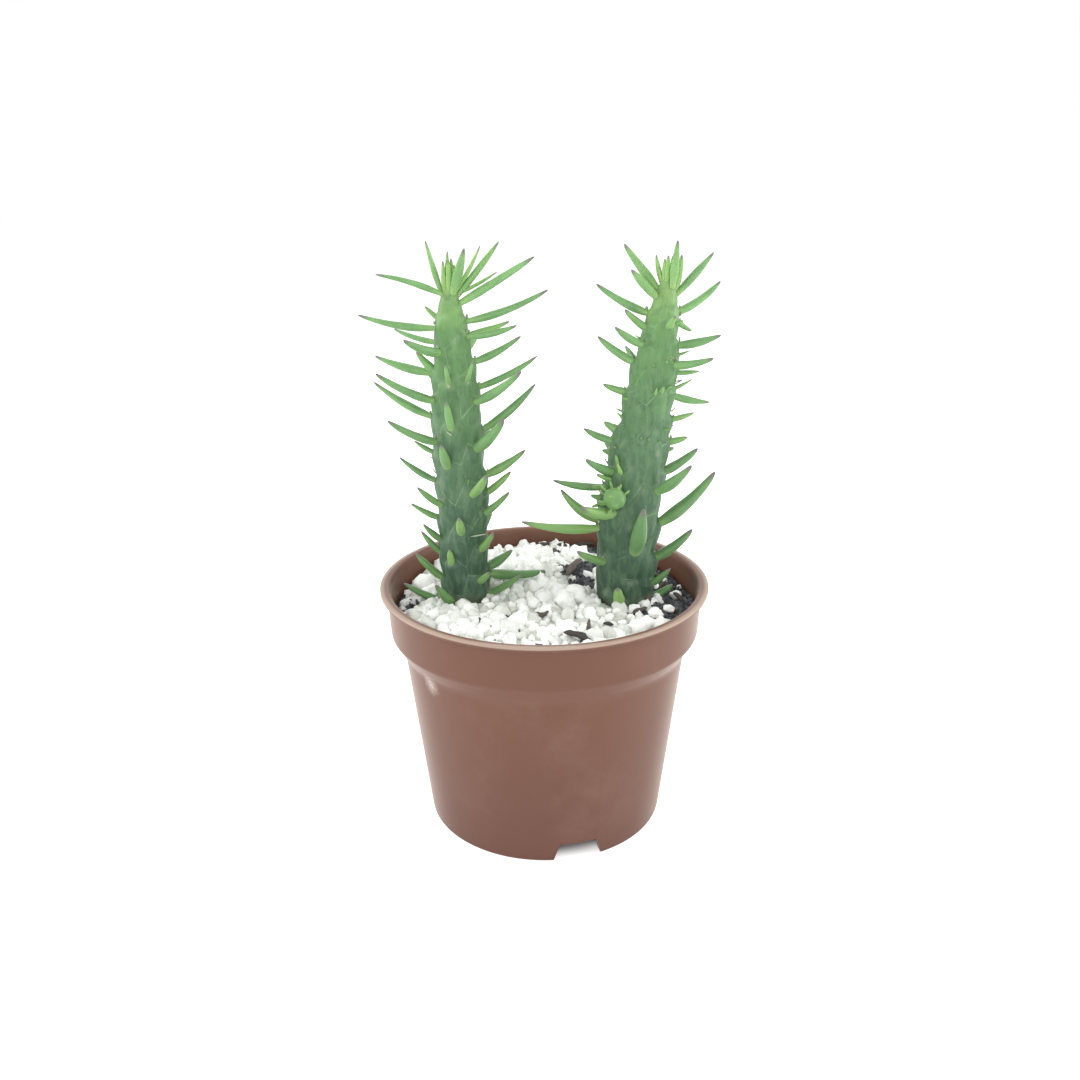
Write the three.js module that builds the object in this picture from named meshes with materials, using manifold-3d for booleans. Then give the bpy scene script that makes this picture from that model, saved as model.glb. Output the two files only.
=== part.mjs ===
// A small potted cactus: two rooted Eve's needle cuttings, Austrocylindropuntia subulata, in a plastic pot.
// Millimetres, +Z up. The origin is on the pot's axis, at the plane that its foot stands on.
// -Y is the front.
import * as THREE from "three";
import { mergeVertices } from "three/addons/utils/BufferGeometryUtils.js";
import Module from "manifold-3d";

const wasm = await Module();
wasm.setup();

// Pot: a moulded nursery pot with a rolled lip, a collar, a tapering body and a notched foot ring.
const POT_HEIGHT = 65;
const RIM_RADIUS = 42.5;
const FOOT_RADIUS = 31.3;
const LIP_HEIGHT = 1.2;
const LIP_OVERHANG = 1.7;
const LIP_INNER_ROUND = 1.4;
const LIP_INNER_FACETS = 3;
const COLLAR_HEIGHT = 12.3;
const COLLAR_STEP = 3.2;
const COLLAR_TAPER = 0.6;
const STEP_DROP = 4.7;
const WALL = 1.0;
const FLOOR_RAISE = 5.8;
const FLOOR_THICKNESS = 1.3;
const FOOT_EDGE_ROUND = 0.9;
const FOOT_RING_WIDTH = 2.6;
const NOTCH_COUNT = 3;
const NOTCH_TURN = -75;
const NOTCH_WIDTH = 11.5;
const NOTCH_FLARE = 1.8;
const NOTCH_HEIGHT = 5.3;
const NOTCH_RUN_OUT = 2;
const DRAIN_SLOT_WIDTH = 3.6;
const DRAIN_SLOT_LENGTH = 11;
const DRAIN_SLOT_INSET = 3;
const POT_SEGMENTS = 60;

// Soil and the white perlite dressing on it.
const CLEARANCE = 0.3;
const SOIL_BELOW_RIM = 7.5;
const BARE_PEAT_RISE = 1.6;
const DRESSING_BELOW_RIM = 4.6;
const BACK_HEAP_RISE = 1.9;
const FRONT_HEAP_RISE = 1.4;
const LEFT_HOLLOW_DEPTH = 3.6;
const BARE_PATCH_DEPTH = 8.5;
const GRANULE_RELIEF = 0.35;
const GRANULE_SPAN = 1.2;
const SOIL_SEGMENTS = 44;
const SOIL_RINGS = 6;
const DRESSING_RINGS = 11;

// Places on the soil: [turn around the pot from +X, distance in from the wall, reach].
// The front heap rises between two shares of the way from the middle to the wall.
const BACK_HEAP = [85, 19, 30];
const FRONT_HEAP_RAMP = [0.2, 0.9];
const LEFT_HOLLOW = [177, -1, 20];
const BARE_PATCH = [28, 4, 21];

// Stems: each is buried by ROOTED. Heights of stems and leaves are measured from the PLANTING_LEVEL.
const PLANTING_LEVEL = POT_HEIGHT - 6;
const ROOTED = 18;
const STEM_SIDES = 18;
const STEM_STEP = 5;
const STEM_TAPER = 1.5;
const LEAN_EARLY = 1.6;
const BURIED_TAPER = 3;
const RING_CROWDING = 0.12;
const TIP_ROUND = 0.4;
const LEFT_STEM = {
  foot: [-20.5, 2],
  tip: [-22.4, 2],
  length: 80.5,
  footRadius: 6.0,
  bellyRadius: 6.35,
  bellyAt: 0.5,
  neckRadius: 3.9,
  neckAt: 0.9,
};
const RIGHT_STEM = {
  foot: [21, 0.5],
  tip: [29.9, 0.5],
  length: 82.5,
  footRadius: 7.6,
  bellyRadius: 7.6,
  bellyAt: 0.24,
  neckRadius: 3.8,
  neckAt: 0.9,
};

// Side shoot: a young offset on the left flank of the right stem.
const SHOOT_CAP_RINGS = 5;
const SHOOT_SIDES = 14;
const SHOOT = { height: 28.8, turn: -122, length: 6.6, rise: 36, radius: 3.4 };

// Leaves: awl-shaped, round in section, widest a third of the way out and drawn to a point.
const LEAF_SIDES = 8;
const LEAF_RINGS = 6;
const LEAF_ROOT = 1.2;
const LEAF_BELLY = 0.34;
const LEAF_POINTING = 0.28;
const LEAF_FOOT_SHARE = 0.62;
const LEAF_THICKNESS_SHARE = 0.86;
const LEAF_BEND = 11;
const CROWN_HEIGHT = 74;
const CROWN_LEAF_BEND = 1;

// Each leaf: [height of its base above the planting level, turn around the stem, length, rise, width].
// Turn is in degrees from +X towards +Y, so 180 is the left, -90 the front and 90 the back.
// A sixth number is the leaf's own bend, where it isn't the usual one.
const LEFT_LEAVES = [
  [79.0, -150, 17.2, 18, 1.8, -9],
  [79.4, 172, 12.2, 74, 1.7],
  [79.6, -47, 11.0, 66, 2.5],
  [78.8, 10, 15.5, 50, 2.1],
  [77.0, -8, 20.5, 31, 2.5],
  [72.2, 4, 21.2, 20, 2.2],
  [70.8, -166, 18.6, 12, 2.2],
  [69.0, 96, 12.0, 24, 2.2],
  [68.8, -20, 13.2, 14, 2.1],
  [67.0, 158, 11.8, 13, 1.8],
  [65.2, -132, 11.8, 22, 2.8],
  [62.2, 8, 13.3, 27, 2.3],
  [59.6, 172, 15.2, 15, 2.6],
  [57.0, 88, 13.5, 28, 2.4],
  [56.0, 2, 16.8, 27, 2.1],
  [53.3, -152, 17.0, 29, 2.6],
  [53.0, -32, 16.5, 33, 2.8],
  [48.6, 176, 17.0, 31, 2.4],
  [45.2, 6, 17.6, 40, 2.6],
  [44.0, 98, 13.0, 34, 2.4],
  [43.1, -146, 15.0, 29, 2.6],
  [41.6, -42, 13.0, 43, 3.4],
  [33.5, 2, 12.0, 32, 2.7],
  [32.0, 178, 11.2, 34, 2.0],
  [30.0, -60, 10.5, 42, 2.6],
  [29.0, 84, 11.0, 36, 2.3],
  [6.0, 22, 17.4, -7, 3.2],
];
const RIGHT_LEAVES = [
  [80.2, 166, 12.6, 51, 2.6],
  [81.0, -60, 10.2, 82, 2.0],
  [79.1, 4, 12.0, 48, 2.3],
  [78.6, -158, 8.6, 44, 2.6],
  [74.2, 14, 12.7, 33, 2.4, 16],
  [74.0, 168, 14.2, 28, 2.4],
  [70.0, 82, 10.5, 30, 2.2],
  [66.4, -8, 10.8, 14, 2.6],
  [66.8, -150, 9.6, 31, 2.4],
  [62.2, 172, 11.0, 34, 2.6],
  [62.0, -36, 11.2, 14, 2.5],
  [57.0, 96, 11.0, 28, 2.4],
  [54.0, 4, 9.8, -12, 2.3],
  [43.0, 86, 11.5, 34, 2.4],
  [42.3, 176, 8.4, 23, 2.4],
  [34.4, 4, 10.4, 34, 2.9],
  [35.4, -152, 9.0, 29, 2.8],
  [30.8, -44, 13.6, 40, 3.3],
  [30.4, 176, 13.4, 7, 2.4],
  [28.0, 100, 12.0, 36, 2.5],
  [25.6, -132, 13.0, 19, 3.6, 15],
  [21.2, -8, 19.6, 46, 3.8, 13],
  [20.4, -164, 21.4, 10, 2.9],
  [15.6, -80, 15.6, 62, 3.9],
  [14.0, 84, 11.0, 40, 2.5],
  [12.2, -140, 10.8, 28, 2.6],
  [12.0, -12, 12.4, 42, 3.2, 13],
];

const skins = {
  terracottaPlastic: material(0x9a6a56, 0.55),
  peat: material(0x3b3230, 0.95),
  perlite: material(0xeef2ea, 0.9),
  stem: material(0x4f8f63, 0.5),
  shoot: material(0x8cb860, 0.5),
  leaf: material(0x73b078, 0.45),
};

function material(color, roughness) {
  return new THREE.MeshStandardMaterial({ color, roughness, metalness: 0 });
}

function radians(degrees) {
  return THREE.MathUtils.degToRad(degrees);
}

// A closed three.js geometry as a solid.
function solidOf(geometry) {
  const plain = new THREE.BufferGeometry();
  plain.setAttribute("position", geometry.getAttribute("position"));
  if (geometry.index) plain.setIndex(geometry.index);
  const merged = mergeVertices(plain, 1e-4);
  const triVerts = new Uint32Array(merged.index.array);
  const vertProperties = new Float32Array(merged.attributes.position.array);
  return new wasm.Manifold(new wasm.Mesh({ numProp: 3, vertProperties, triVerts }));
}

// A solid as a three.js geometry.
function geometryOf(solid) {
  const mesh = solid.getMesh();
  const geometry = new THREE.BufferGeometry();
  const points = new Float32Array(mesh.numVert * 3);
  for (let i = 0; i < mesh.numVert; i++) {
    for (let k = 0; k < 3; k++) {
      points[3 * i + k] = mesh.vertProperties[mesh.numProp * i + k];
    }
  }
  geometry.setAttribute("position", new THREE.BufferAttribute(points, 3));
  geometry.setIndex(new THREE.BufferAttribute(new Uint32Array(mesh.triVerts), 1));
  geometry.computeVertexNormals();
  return geometry;
}

// The largest of a solid's separate bodies.
function mainBody(solid) {
  const bodies = solid.decompose();
  return bodies.reduce((most, body) => (body.volume() > most.volume() ? body : most));
}

// A closed skin over rings of points: each ring has as many points, and the ends are closed by a point.
function loft(rings, startPoint, endPoint) {
  const sides = rings[0].length;
  const positions = [];
  const faces = [];
  for (const ring of rings) {
    for (const point of ring) positions.push(point.x, point.y, point.z);
  }
  const start = positions.length / 3;
  positions.push(startPoint.x, startPoint.y, startPoint.z);
  positions.push(endPoint.x, endPoint.y, endPoint.z);
  const end = start + 1;
  const last = (rings.length - 1) * sides;
  for (let s = 0; s < sides; s++) {
    const t = (s + 1) % sides;
    faces.push(start, t, s);
    faces.push(end, last + s, last + t);
    for (let r = 0; r < rings.length - 1; r++) {
      const low = r * sides;
      const high = low + sides;
      faces.push(low + s, low + t, high + t);
      faces.push(low + s, high + t, high + s);
    }
  }
  const geometry = new THREE.BufferGeometry();
  geometry.setAttribute("position", new THREE.Float32BufferAttribute(positions, 3));
  geometry.setIndex(faces);
  return geometry;
}

// A solid of revolution about Z from [radius, height] points that start and end on the axis.
function turned(profile, segments) {
  const points = profile.map(([radius, height]) => new THREE.Vector2(radius, height));
  const geometry = new THREE.LatheGeometry(points, segments);
  geometry.rotateX(Math.PI / 2);
  return solidOf(geometry);
}

// The pot's wall, as [radius, height] points from the foot to just under the lip.
function wallOutside() {
  const collarFoot = POT_HEIGHT - COLLAR_HEIGHT;
  const collarTop = RIM_RADIUS - LIP_OVERHANG;
  const collarRadius = collarTop - COLLAR_TAPER;
  return [
    [FOOT_RADIUS, FOOT_EDGE_ROUND],
    [collarRadius - COLLAR_STEP, collarFoot - STEP_DROP],
    [collarRadius, collarFoot],
    [collarTop, POT_HEIGHT - LIP_HEIGHT],
  ];
}

// The radius of the pot's inner wall at a height.
function innerRadius(height) {
  const wall = wallOutside();
  for (let i = 1; i < wall.length; i++) {
    const [lowRadius, low] = wall[i - 1];
    const [highRadius, high] = wall[i];
    if (height <= high || i === wall.length - 1) {
      const share = (height - low) / (high - low);
      return lowRadius + share * (highRadius - lowRadius) - WALL;
    }
  }
  return RIM_RADIUS - LIP_OVERHANG - WALL;
}

// The rounding from the lip's flat top down into the pot's inner wall, as [radius, height] points.
function lipInside() {
  const points = [];
  for (let i = 0; i <= LIP_INNER_FACETS; i++) {
    const turn = (Math.PI / 2) * (i / LIP_INNER_FACETS);
    points.push([
      innerRadius(POT_HEIGHT) + LIP_INNER_ROUND * (1 - Math.sin(turn)),
      POT_HEIGHT - LIP_INNER_ROUND * (1 - Math.cos(turn)),
    ]);
  }
  return points;
}

// One drain notch in the foot ring, with the slot that it opens through the floor.
function notchCutter() {
  const shape = new THREE.Shape();
  const half = NOTCH_WIDTH / 2;
  shape.moveTo(-half - NOTCH_FLARE / 2, -1);
  shape.lineTo(half + NOTCH_FLARE / 2, -1);
  shape.lineTo(half - NOTCH_FLARE / 2, NOTCH_HEIGHT);
  shape.lineTo(-half + NOTCH_FLARE / 2, NOTCH_HEIGHT);
  const depth = FOOT_RING_WIDTH + 2 * NOTCH_RUN_OUT;
  const notch = new THREE.ExtrudeGeometry(shape, { depth, bevelEnabled: false });
  // The extrusion runs outwards along +X, with the notch's height along +Z.
  notch.rotateX(Math.PI / 2);
  notch.rotateZ(Math.PI / 2);
  const ringInside = FOOT_RADIUS - FOOT_RING_WIDTH;
  notch.translate(ringInside - NOTCH_RUN_OUT, 0, 0);
  const slot = new THREE.BoxGeometry(DRAIN_SLOT_LENGTH, DRAIN_SLOT_WIDTH, 3 * FLOOR_THICKNESS);
  const slotCentre = ringInside - DRAIN_SLOT_INSET - DRAIN_SLOT_LENGTH / 2;
  slot.translate(slotCentre, 0, FLOOR_RAISE + FLOOR_THICKNESS / 2);
  return solidOf(notch).add(solidOf(slot));
}

function makePot() {
  const outside = wallOutside();
  const shoulder = outside[1];
  const collar = outside[2];
  const lipUnder = POT_HEIGHT - LIP_HEIGHT;
  const lipEdge = RIM_RADIUS - LIP_HEIGHT / 2;
  const shell = turned(
    [
      [0, FLOOR_RAISE],
      [FOOT_RADIUS - FOOT_RING_WIDTH, FLOOR_RAISE],
      [FOOT_RADIUS - FOOT_RING_WIDTH, 0],
      [FOOT_RADIUS - FOOT_EDGE_ROUND, 0],
      [FOOT_RADIUS - FOOT_EDGE_ROUND * 0.3, FOOT_EDGE_ROUND * 0.3],
      ...outside,
      [lipEdge, lipUnder],
      [RIM_RADIUS, lipUnder + LIP_HEIGHT * 0.35],
      [RIM_RADIUS, POT_HEIGHT - LIP_HEIGHT * 0.35],
      [lipEdge, POT_HEIGHT],
      ...lipInside(),
      [collar[0] - WALL, collar[1]],
      [shoulder[0] - WALL, shoulder[1]],
      [innerRadius(FLOOR_RAISE + FLOOR_THICKNESS), FLOOR_RAISE + FLOOR_THICKNESS],
      [0, FLOOR_RAISE + FLOOR_THICKNESS],
    ],
    POT_SEGMENTS,
  );
  const cutter = notchCutter();
  let pot = shell;
  for (let i = 0; i < NOTCH_COUNT; i++) {
    pot = pot.subtract(cutter.rotate([0, 0, NOTCH_TURN + (360 / NOTCH_COUNT) * i]));
  }
  return pot;
}

// A smooth rise from 0 to 1 between two values.
function ramp(value, from, to) {
  return THREE.MathUtils.smoothstep(value, from, to);
}

// The radius of the soil's edge, just clear of the wall above the collar's step.
function soilEdge() {
  return innerRadius(POT_HEIGHT - COLLAR_HEIGHT) - CLEARANCE;
}

// How near a point is to a place on the soil, from 1 at it to 0 at the end of its reach.
function near(x, y, [turn, inset, reach]) {
  const radius = soilEdge() - inset;
  const angle = radians(turn);
  const away = Math.hypot(x - radius * Math.cos(angle), y - radius * Math.sin(angle));
  return 1 - ramp(away, 0, reach);
}

// The height of the peat's surface at a point. It is highest where it lies bare.
function soilHeight(x, y) {
  return POT_HEIGHT - SOIL_BELOW_RIM + BARE_PEAT_RISE * near(x, y, BARE_PATCH);
}

// The height of the perlite's surface at a point. It dips under the peat at the bare patch.
function dressingHeight(x, y) {
  const back = BACK_HEAP_RISE * near(x, y, BACK_HEAP);
  const front = FRONT_HEAP_RISE * ramp(-y / soilEdge(), ...FRONT_HEAP_RAMP);
  const hollow = LEFT_HOLLOW_DEPTH * near(x, y, LEFT_HOLLOW);
  const patch = BARE_PATCH_DEPTH * near(x, y, BARE_PATCH);
  const relief = GRANULE_RELIEF * Math.sin(x / GRANULE_SPAN) * Math.cos(y / GRANULE_SPAN);
  return POT_HEIGHT - DRESSING_BELOW_RIM + back + front - hollow - patch + relief;
}

// A fill of the pot from a floor height up to a surface, clear of the wall.
function fill(floorHeight, heightAt, rings) {
  const topRings = [];
  for (let r = rings; r >= 1; r--) {
    const ring = [];
    for (let s = 0; s < SOIL_SEGMENTS; s++) {
      const turn = (2 * Math.PI * s) / SOIL_SEGMENTS;
      const radius = (soilEdge() * r) / rings;
      const x = radius * Math.cos(turn);
      const y = radius * Math.sin(turn);
      ring.push(new THREE.Vector3(x, y, heightAt(x, y)));
    }
    topRings.push(ring);
  }
  const sideRings = [];
  const collarFoot = POT_HEIGHT - COLLAR_HEIGHT;
  const heights = [floorHeight, collarFoot - STEP_DROP, collarFoot];
  for (const height of heights.filter((value, i) => i === 0 || value > floorHeight)) {
    const ring = [];
    for (let s = 0; s < SOIL_SEGMENTS; s++) {
      const turn = (2 * Math.PI * s) / SOIL_SEGMENTS;
      const radius = innerRadius(height) - CLEARANCE;
      ring.push(new THREE.Vector3(radius * Math.cos(turn), radius * Math.sin(turn), height));
    }
    sideRings.push(ring);
  }
  const bottom = new THREE.Vector3(0, 0, floorHeight);
  const top = new THREE.Vector3(0, 0, heightAt(0, 0));
  return solidOf(loft([...sideRings, ...topRings], bottom, top));
}

// A stem: its leaning axis, its radius and its skin at any height.
class Stem {
  constructor(sizes) {
    this.sizes = sizes;
    this.foot = new THREE.Vector3(...sizes.foot, PLANTING_LEVEL);
    this.tip = new THREE.Vector3(...sizes.tip, PLANTING_LEVEL + sizes.length);
  }

  // The point of the axis at a height. The stem starts upright and leans from its middle upwards.
  axisAt(height) {
    const share = (height - this.foot.z) / (this.tip.z - this.foot.z);
    const climb = Math.max(share, 0);
    const lean = LEAN_EARLY * climb ** 2 + (1 - LEAN_EARLY) * climb ** 4;
    return new THREE.Vector3(
      this.foot.x + lean * (this.tip.x - this.foot.x),
      this.foot.y + lean * (this.tip.y - this.foot.y),
      height,
    );
  }

  // The radius at a height: from the foot to the belly, the neck and the domed tip.
  radiusAt(height) {
    const { footRadius, bellyRadius, bellyAt, neckRadius, neckAt } = this.sizes;
    const share = (height - this.foot.z) / (this.tip.z - this.foot.z);
    if (share < 0) return footRadius + BURIED_TAPER * share;
    if (share < bellyAt) return THREE.MathUtils.lerp(footRadius, bellyRadius, share / bellyAt);
    if (share < neckAt) {
      const climb = (share - bellyAt) / (neckAt - bellyAt);
      return THREE.MathUtils.lerp(bellyRadius, neckRadius, Math.pow(climb, STEM_TAPER));
    }
    const dome = Math.min((share - neckAt) / (1 - neckAt), 1);
    return neckRadius * Math.sqrt(Math.max(1 - dome * dome, 0));
  }

  // The solid, grown by a clearance so that it can cut its neighbours.
  solid(grown) {
    const low = this.foot.z - ROOTED - grown;
    const high = this.tip.z + grown;
    const count = Math.round((high - low) / STEM_STEP);
    const rings = [];
    for (let i = 0; i < count; i++) {
      // Rings crowd towards the dome.
      const share = i / count;
      const climb = share + RING_CROWDING * Math.sin(Math.PI * share);
      const height = low + (high - low) * climb;
      const centre = this.axisAt(height);
      const radius = this.radiusAt(Math.min(height, this.tip.z - TIP_ROUND)) + grown;
      const ring = [];
      for (let s = 0; s < STEM_SIDES; s++) {
        const turn = (2 * Math.PI * s) / STEM_SIDES;
        ring.push(
          new THREE.Vector3(
            centre.x + radius * Math.cos(turn),
            centre.y + radius * Math.sin(turn),
            height,
          ),
        );
      }
      rings.push(ring);
    }
    return solidOf(loft(rings, this.axisAt(low), this.axisAt(high)));
  }

  // The point of the skin at a height above the planting level and a turn, and the way out there.
  seat(heightUp, turn) {
    const height = PLANTING_LEVEL + heightUp;
    const angle = radians(turn);
    const out = new THREE.Vector3(Math.cos(angle), Math.sin(angle), 0);
    const skin = this.axisAt(height).addScaledVector(out, this.radiusAt(height));
    return { skin, out };
  }
}

// The width of a leaf at a share of its length, as a share of its full width.
function leafWidth(share) {
  if (share < LEAF_BELLY) {
    const swell = Math.sin((Math.PI / 2) * (share / LEAF_BELLY));
    return THREE.MathUtils.lerp(LEAF_FOOT_SHARE, 1, swell);
  }
  const outer = (share - LEAF_BELLY) / (1 - LEAF_BELLY);
  return Math.sqrt(1 - outer * outer) * (1 - LEAF_POINTING * outer);
}

// A leaf that starts inside the stem's skin and bends up towards its tip, or down a little in the crown.
// It can be grown by a clearance so that it cuts its neighbours.
function makeLeaf(stem, [height, turn, length, rise, width, ownBend], cutters, grown = 0) {
  const bend = ownBend ?? (height > CROWN_HEIGHT ? CROWN_LEAF_BEND : LEAF_BEND);
  const { skin, out } = stem.seat(height, turn);
  const up = new THREE.Vector3(0, 0, 1);
  const direction = (degrees) =>
    out
      .clone()
      .multiplyScalar(Math.cos(radians(degrees)))
      .addScaledVector(up, Math.sin(radians(degrees)));
  const start = skin.clone().addScaledVector(direction(rise - bend), -LEAF_ROOT);
  const whole = length + LEAF_ROOT;
  const middle = start.clone().addScaledVector(direction(rise - bend), whole / 2);
  const tip = skin.clone().addScaledVector(direction(rise), length + grown);
  const spine = new THREE.QuadraticBezierCurve3(start, middle, tip);
  const across = new THREE.Vector3().crossVectors(up, out).normalize();
  const rings = [];
  for (let r = 0; r < LEAF_RINGS; r++) {
    const share = r / LEAF_RINGS;
    const centre = spine.getPoint(share);
    const along = spine.getTangent(share);
    const lift = new THREE.Vector3().crossVectors(along, across).normalize();
    const halfWidth = (width / 2) * leafWidth(share) + grown;
    const ring = [];
    for (let s = 0; s < LEAF_SIDES; s++) {
      const angle = (2 * Math.PI * s) / LEAF_SIDES;
      ring.push(
        centre
          .clone()
          .addScaledVector(across, halfWidth * Math.cos(angle))
          .addScaledVector(lift, halfWidth * LEAF_THICKNESS_SHARE * Math.sin(angle)),
      );
    }
    rings.push(ring);
  }
  let leaf = solidOf(loft(rings, start, tip));
  if (leaf.volume() < 0) leaf = solidOf(loft(rings.map((ring) => ring.reverse()), start, tip));
  for (const cutter of cutters) leaf = leaf.subtract(cutter);
  return mainBody(leaf);
}

// A short round-ended shoot that sits on the stem's flank.
function makeShoot(stem, cutters) {
  const { skin, out } = stem.seat(SHOOT.height, SHOOT.turn);
  const lift = new THREE.Vector3(0, 0, Math.tan(radians(SHOOT.rise)));
  const direction = out.clone().add(lift).normalize();
  const straight = SHOOT.length - SHOOT.radius;
  const body = new THREE.CapsuleGeometry(SHOOT.radius, straight, SHOOT_CAP_RINGS, SHOOT_SIDES);
  body.applyQuaternion(
    new THREE.Quaternion().setFromUnitVectors(new THREE.Vector3(0, 1, 0), direction),
  );
  const centre = skin.clone().addScaledVector(direction, straight / 2);
  body.translate(centre.x, centre.y, centre.z);
  return mainBody(cutters.reduce((rest, cutter) => rest.subtract(cutter), solidOf(body)));
}

const cactus = new THREE.Group();

function place(name, solid, skin) {
  const mesh = new THREE.Mesh(geometryOf(solid), skin);
  mesh.name = name;
  cactus.add(mesh);
}

const leftStem = new Stem(LEFT_STEM);
const rightStem = new Stem(RIGHT_STEM);
const stemClearances = [leftStem.solid(CLEARANCE), rightStem.solid(CLEARANCE)];

place("pot", makePot(), skins.terracottaPlastic);

const soilFloor = FLOOR_RAISE + FLOOR_THICKNESS + CLEARANCE;
const soil = fill(soilFloor, soilHeight, SOIL_RINGS);
const raisedSoil = fill(soilFloor, (x, y) => soilHeight(x, y) + CLEARANCE, SOIL_RINGS);
const heap = fill(POT_HEIGHT - COLLAR_HEIGHT, dressingHeight, DRESSING_RINGS);
const sockets = stemClearances[0].add(stemClearances[1]);
// The dressing makes way for a leaf that lies low over it.
const leftBeds = LEFT_LEAVES.map((leaf) => makeLeaf(leftStem, leaf, [], CLEARANCE));
const rightBeds = RIGHT_LEAVES.map((leaf) => makeLeaf(rightStem, leaf, [], CLEARANCE));
const beds = [...leftBeds, ...rightBeds];
const dressing = beds.reduce((rest, bed) => rest.subtract(bed), heap.subtract(raisedSoil));
place("soil", mainBody(soil.subtract(sockets)), skins.peat);
place("perlite", mainBody(dressing.subtract(sockets)), skins.perlite);

place("stem_left", leftStem.solid(0), skins.stem);
place("stem_right", rightStem.solid(0), skins.stem);
// The side shoot makes way for the leaves beside it.
const shoot = makeShoot(rightStem, [stemClearances[1], ...rightBeds]);
place("side_shoot", shoot, skins.shoot);

LEFT_LEAVES.forEach((leaf, i) => {
  const name = "left_leaf_" + String(i + 1).padStart(2, "0");
  place(name, makeLeaf(leftStem, leaf, [stemClearances[0]]), skins.leaf);
});
RIGHT_LEAVES.forEach((leaf, i) => {
  const name = "right_leaf_" + String(i + 1).padStart(2, "0");
  place(name, makeLeaf(rightStem, leaf, [stemClearances[1]]), skins.leaf);
});

export default cactus;
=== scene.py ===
"""Looks of a small potted cactus: two leafy cuttings in a plastic nursery pot, dressed with white perlite.

Sizes in the classes are in millimetres and degrees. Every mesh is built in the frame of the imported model,
in metres, and takes its place from that model's nodes. -Y is the front.
"""

import logging
import math
from dataclasses import dataclass, field
from enum import Enum
from typing import ClassVar

import bmesh
import bpy
import numpy as np
from mathutils import Matrix, Vector, noise
from mathutils.bvhtree import BVHTree


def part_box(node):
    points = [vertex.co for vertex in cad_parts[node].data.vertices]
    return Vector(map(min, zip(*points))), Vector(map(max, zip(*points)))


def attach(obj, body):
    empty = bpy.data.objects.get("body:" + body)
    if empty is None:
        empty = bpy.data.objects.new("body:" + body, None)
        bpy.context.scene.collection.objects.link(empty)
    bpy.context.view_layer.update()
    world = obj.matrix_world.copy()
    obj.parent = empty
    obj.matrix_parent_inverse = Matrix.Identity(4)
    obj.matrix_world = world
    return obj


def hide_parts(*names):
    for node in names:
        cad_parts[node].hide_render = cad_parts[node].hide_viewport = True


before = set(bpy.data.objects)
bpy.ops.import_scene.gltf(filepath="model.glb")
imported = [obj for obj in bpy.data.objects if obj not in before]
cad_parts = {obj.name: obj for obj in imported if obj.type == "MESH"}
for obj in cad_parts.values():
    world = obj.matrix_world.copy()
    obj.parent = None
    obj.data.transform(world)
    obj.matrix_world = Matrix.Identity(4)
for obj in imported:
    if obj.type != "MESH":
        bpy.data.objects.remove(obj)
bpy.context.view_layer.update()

MM = 0.001
BODY = "root"
PLANTING_LEVEL = 59.0
BUMP_DEPTH = 0.4
GRAIN_SHAPES = 5
GOLDEN = 2.39996
UP = np.array((0.0, 0.0, 1.0))
LOG = logging.getLogger("potted_cactus")

Colour = tuple[float, float, float, float]
MeshParts = tuple[np.ndarray, list, dict]


class Side(Enum):
    """The two stems, by where they stand."""

    LEFT = "left"
    RIGHT = "right"


class GrainShape(Enum):
    """How the grains of a scattered layer are proportioned, along their own axes."""

    LUMP = ((0.65, 0.65, 0.55), (1.2, 1.1, 0.95))
    CRUMB = ((0.6, 0.6, 0.4), (1.3, 1.1, 0.8))


# ---------------------------------------------------------------------------------------------- helpers


def rgb(red: float, green: float, blue: float) -> Colour:
    """An opaque colour from linear values."""
    return (red, green, blue, 1.0)


def smoothstep(low: float, high: float, value: np.ndarray) -> np.ndarray:
    """A smooth rise from 0 at low to 1 at high."""
    t = np.clip((value - low) / (high - low), 0.0, 1.0)
    return t * t * (3.0 - 2.0 * t)


def full_turn(count: int) -> np.ndarray:
    """Evenly spaced angles round a circle, in radians."""
    return np.linspace(0.0, 2.0 * math.pi, count, endpoint=False)


def unit(way: np.ndarray) -> np.ndarray:
    """A direction at a length of 1."""
    return way / np.linalg.norm(way)


def node_points(node: str) -> np.ndarray:
    """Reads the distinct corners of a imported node.

    Args:
        node: The node's name.

    Returns:
        The corners in millimetres.
    """
    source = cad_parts[node]
    flat = np.empty(len(source.data.vertices) * 3)
    source.data.vertices.foreach_get("co", flat)
    points = np.c_[flat.reshape(-1, 3), np.ones(len(flat) // 3)] @ np.array(source.matrix_world).T
    return np.unique(np.round(points[:, :3] / MM, 3), axis=0)


def noise_at(points: np.ndarray, scale: float, seed: float) -> np.ndarray:
    """Smooth noise from -1 to 1 at points in millimetres, with lumps of about scale millimetres."""
    shift = Vector((seed, 2.0 * seed, -seed))
    return np.array([noise.noise(Vector(p) / scale + shift) for p in points])


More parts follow.
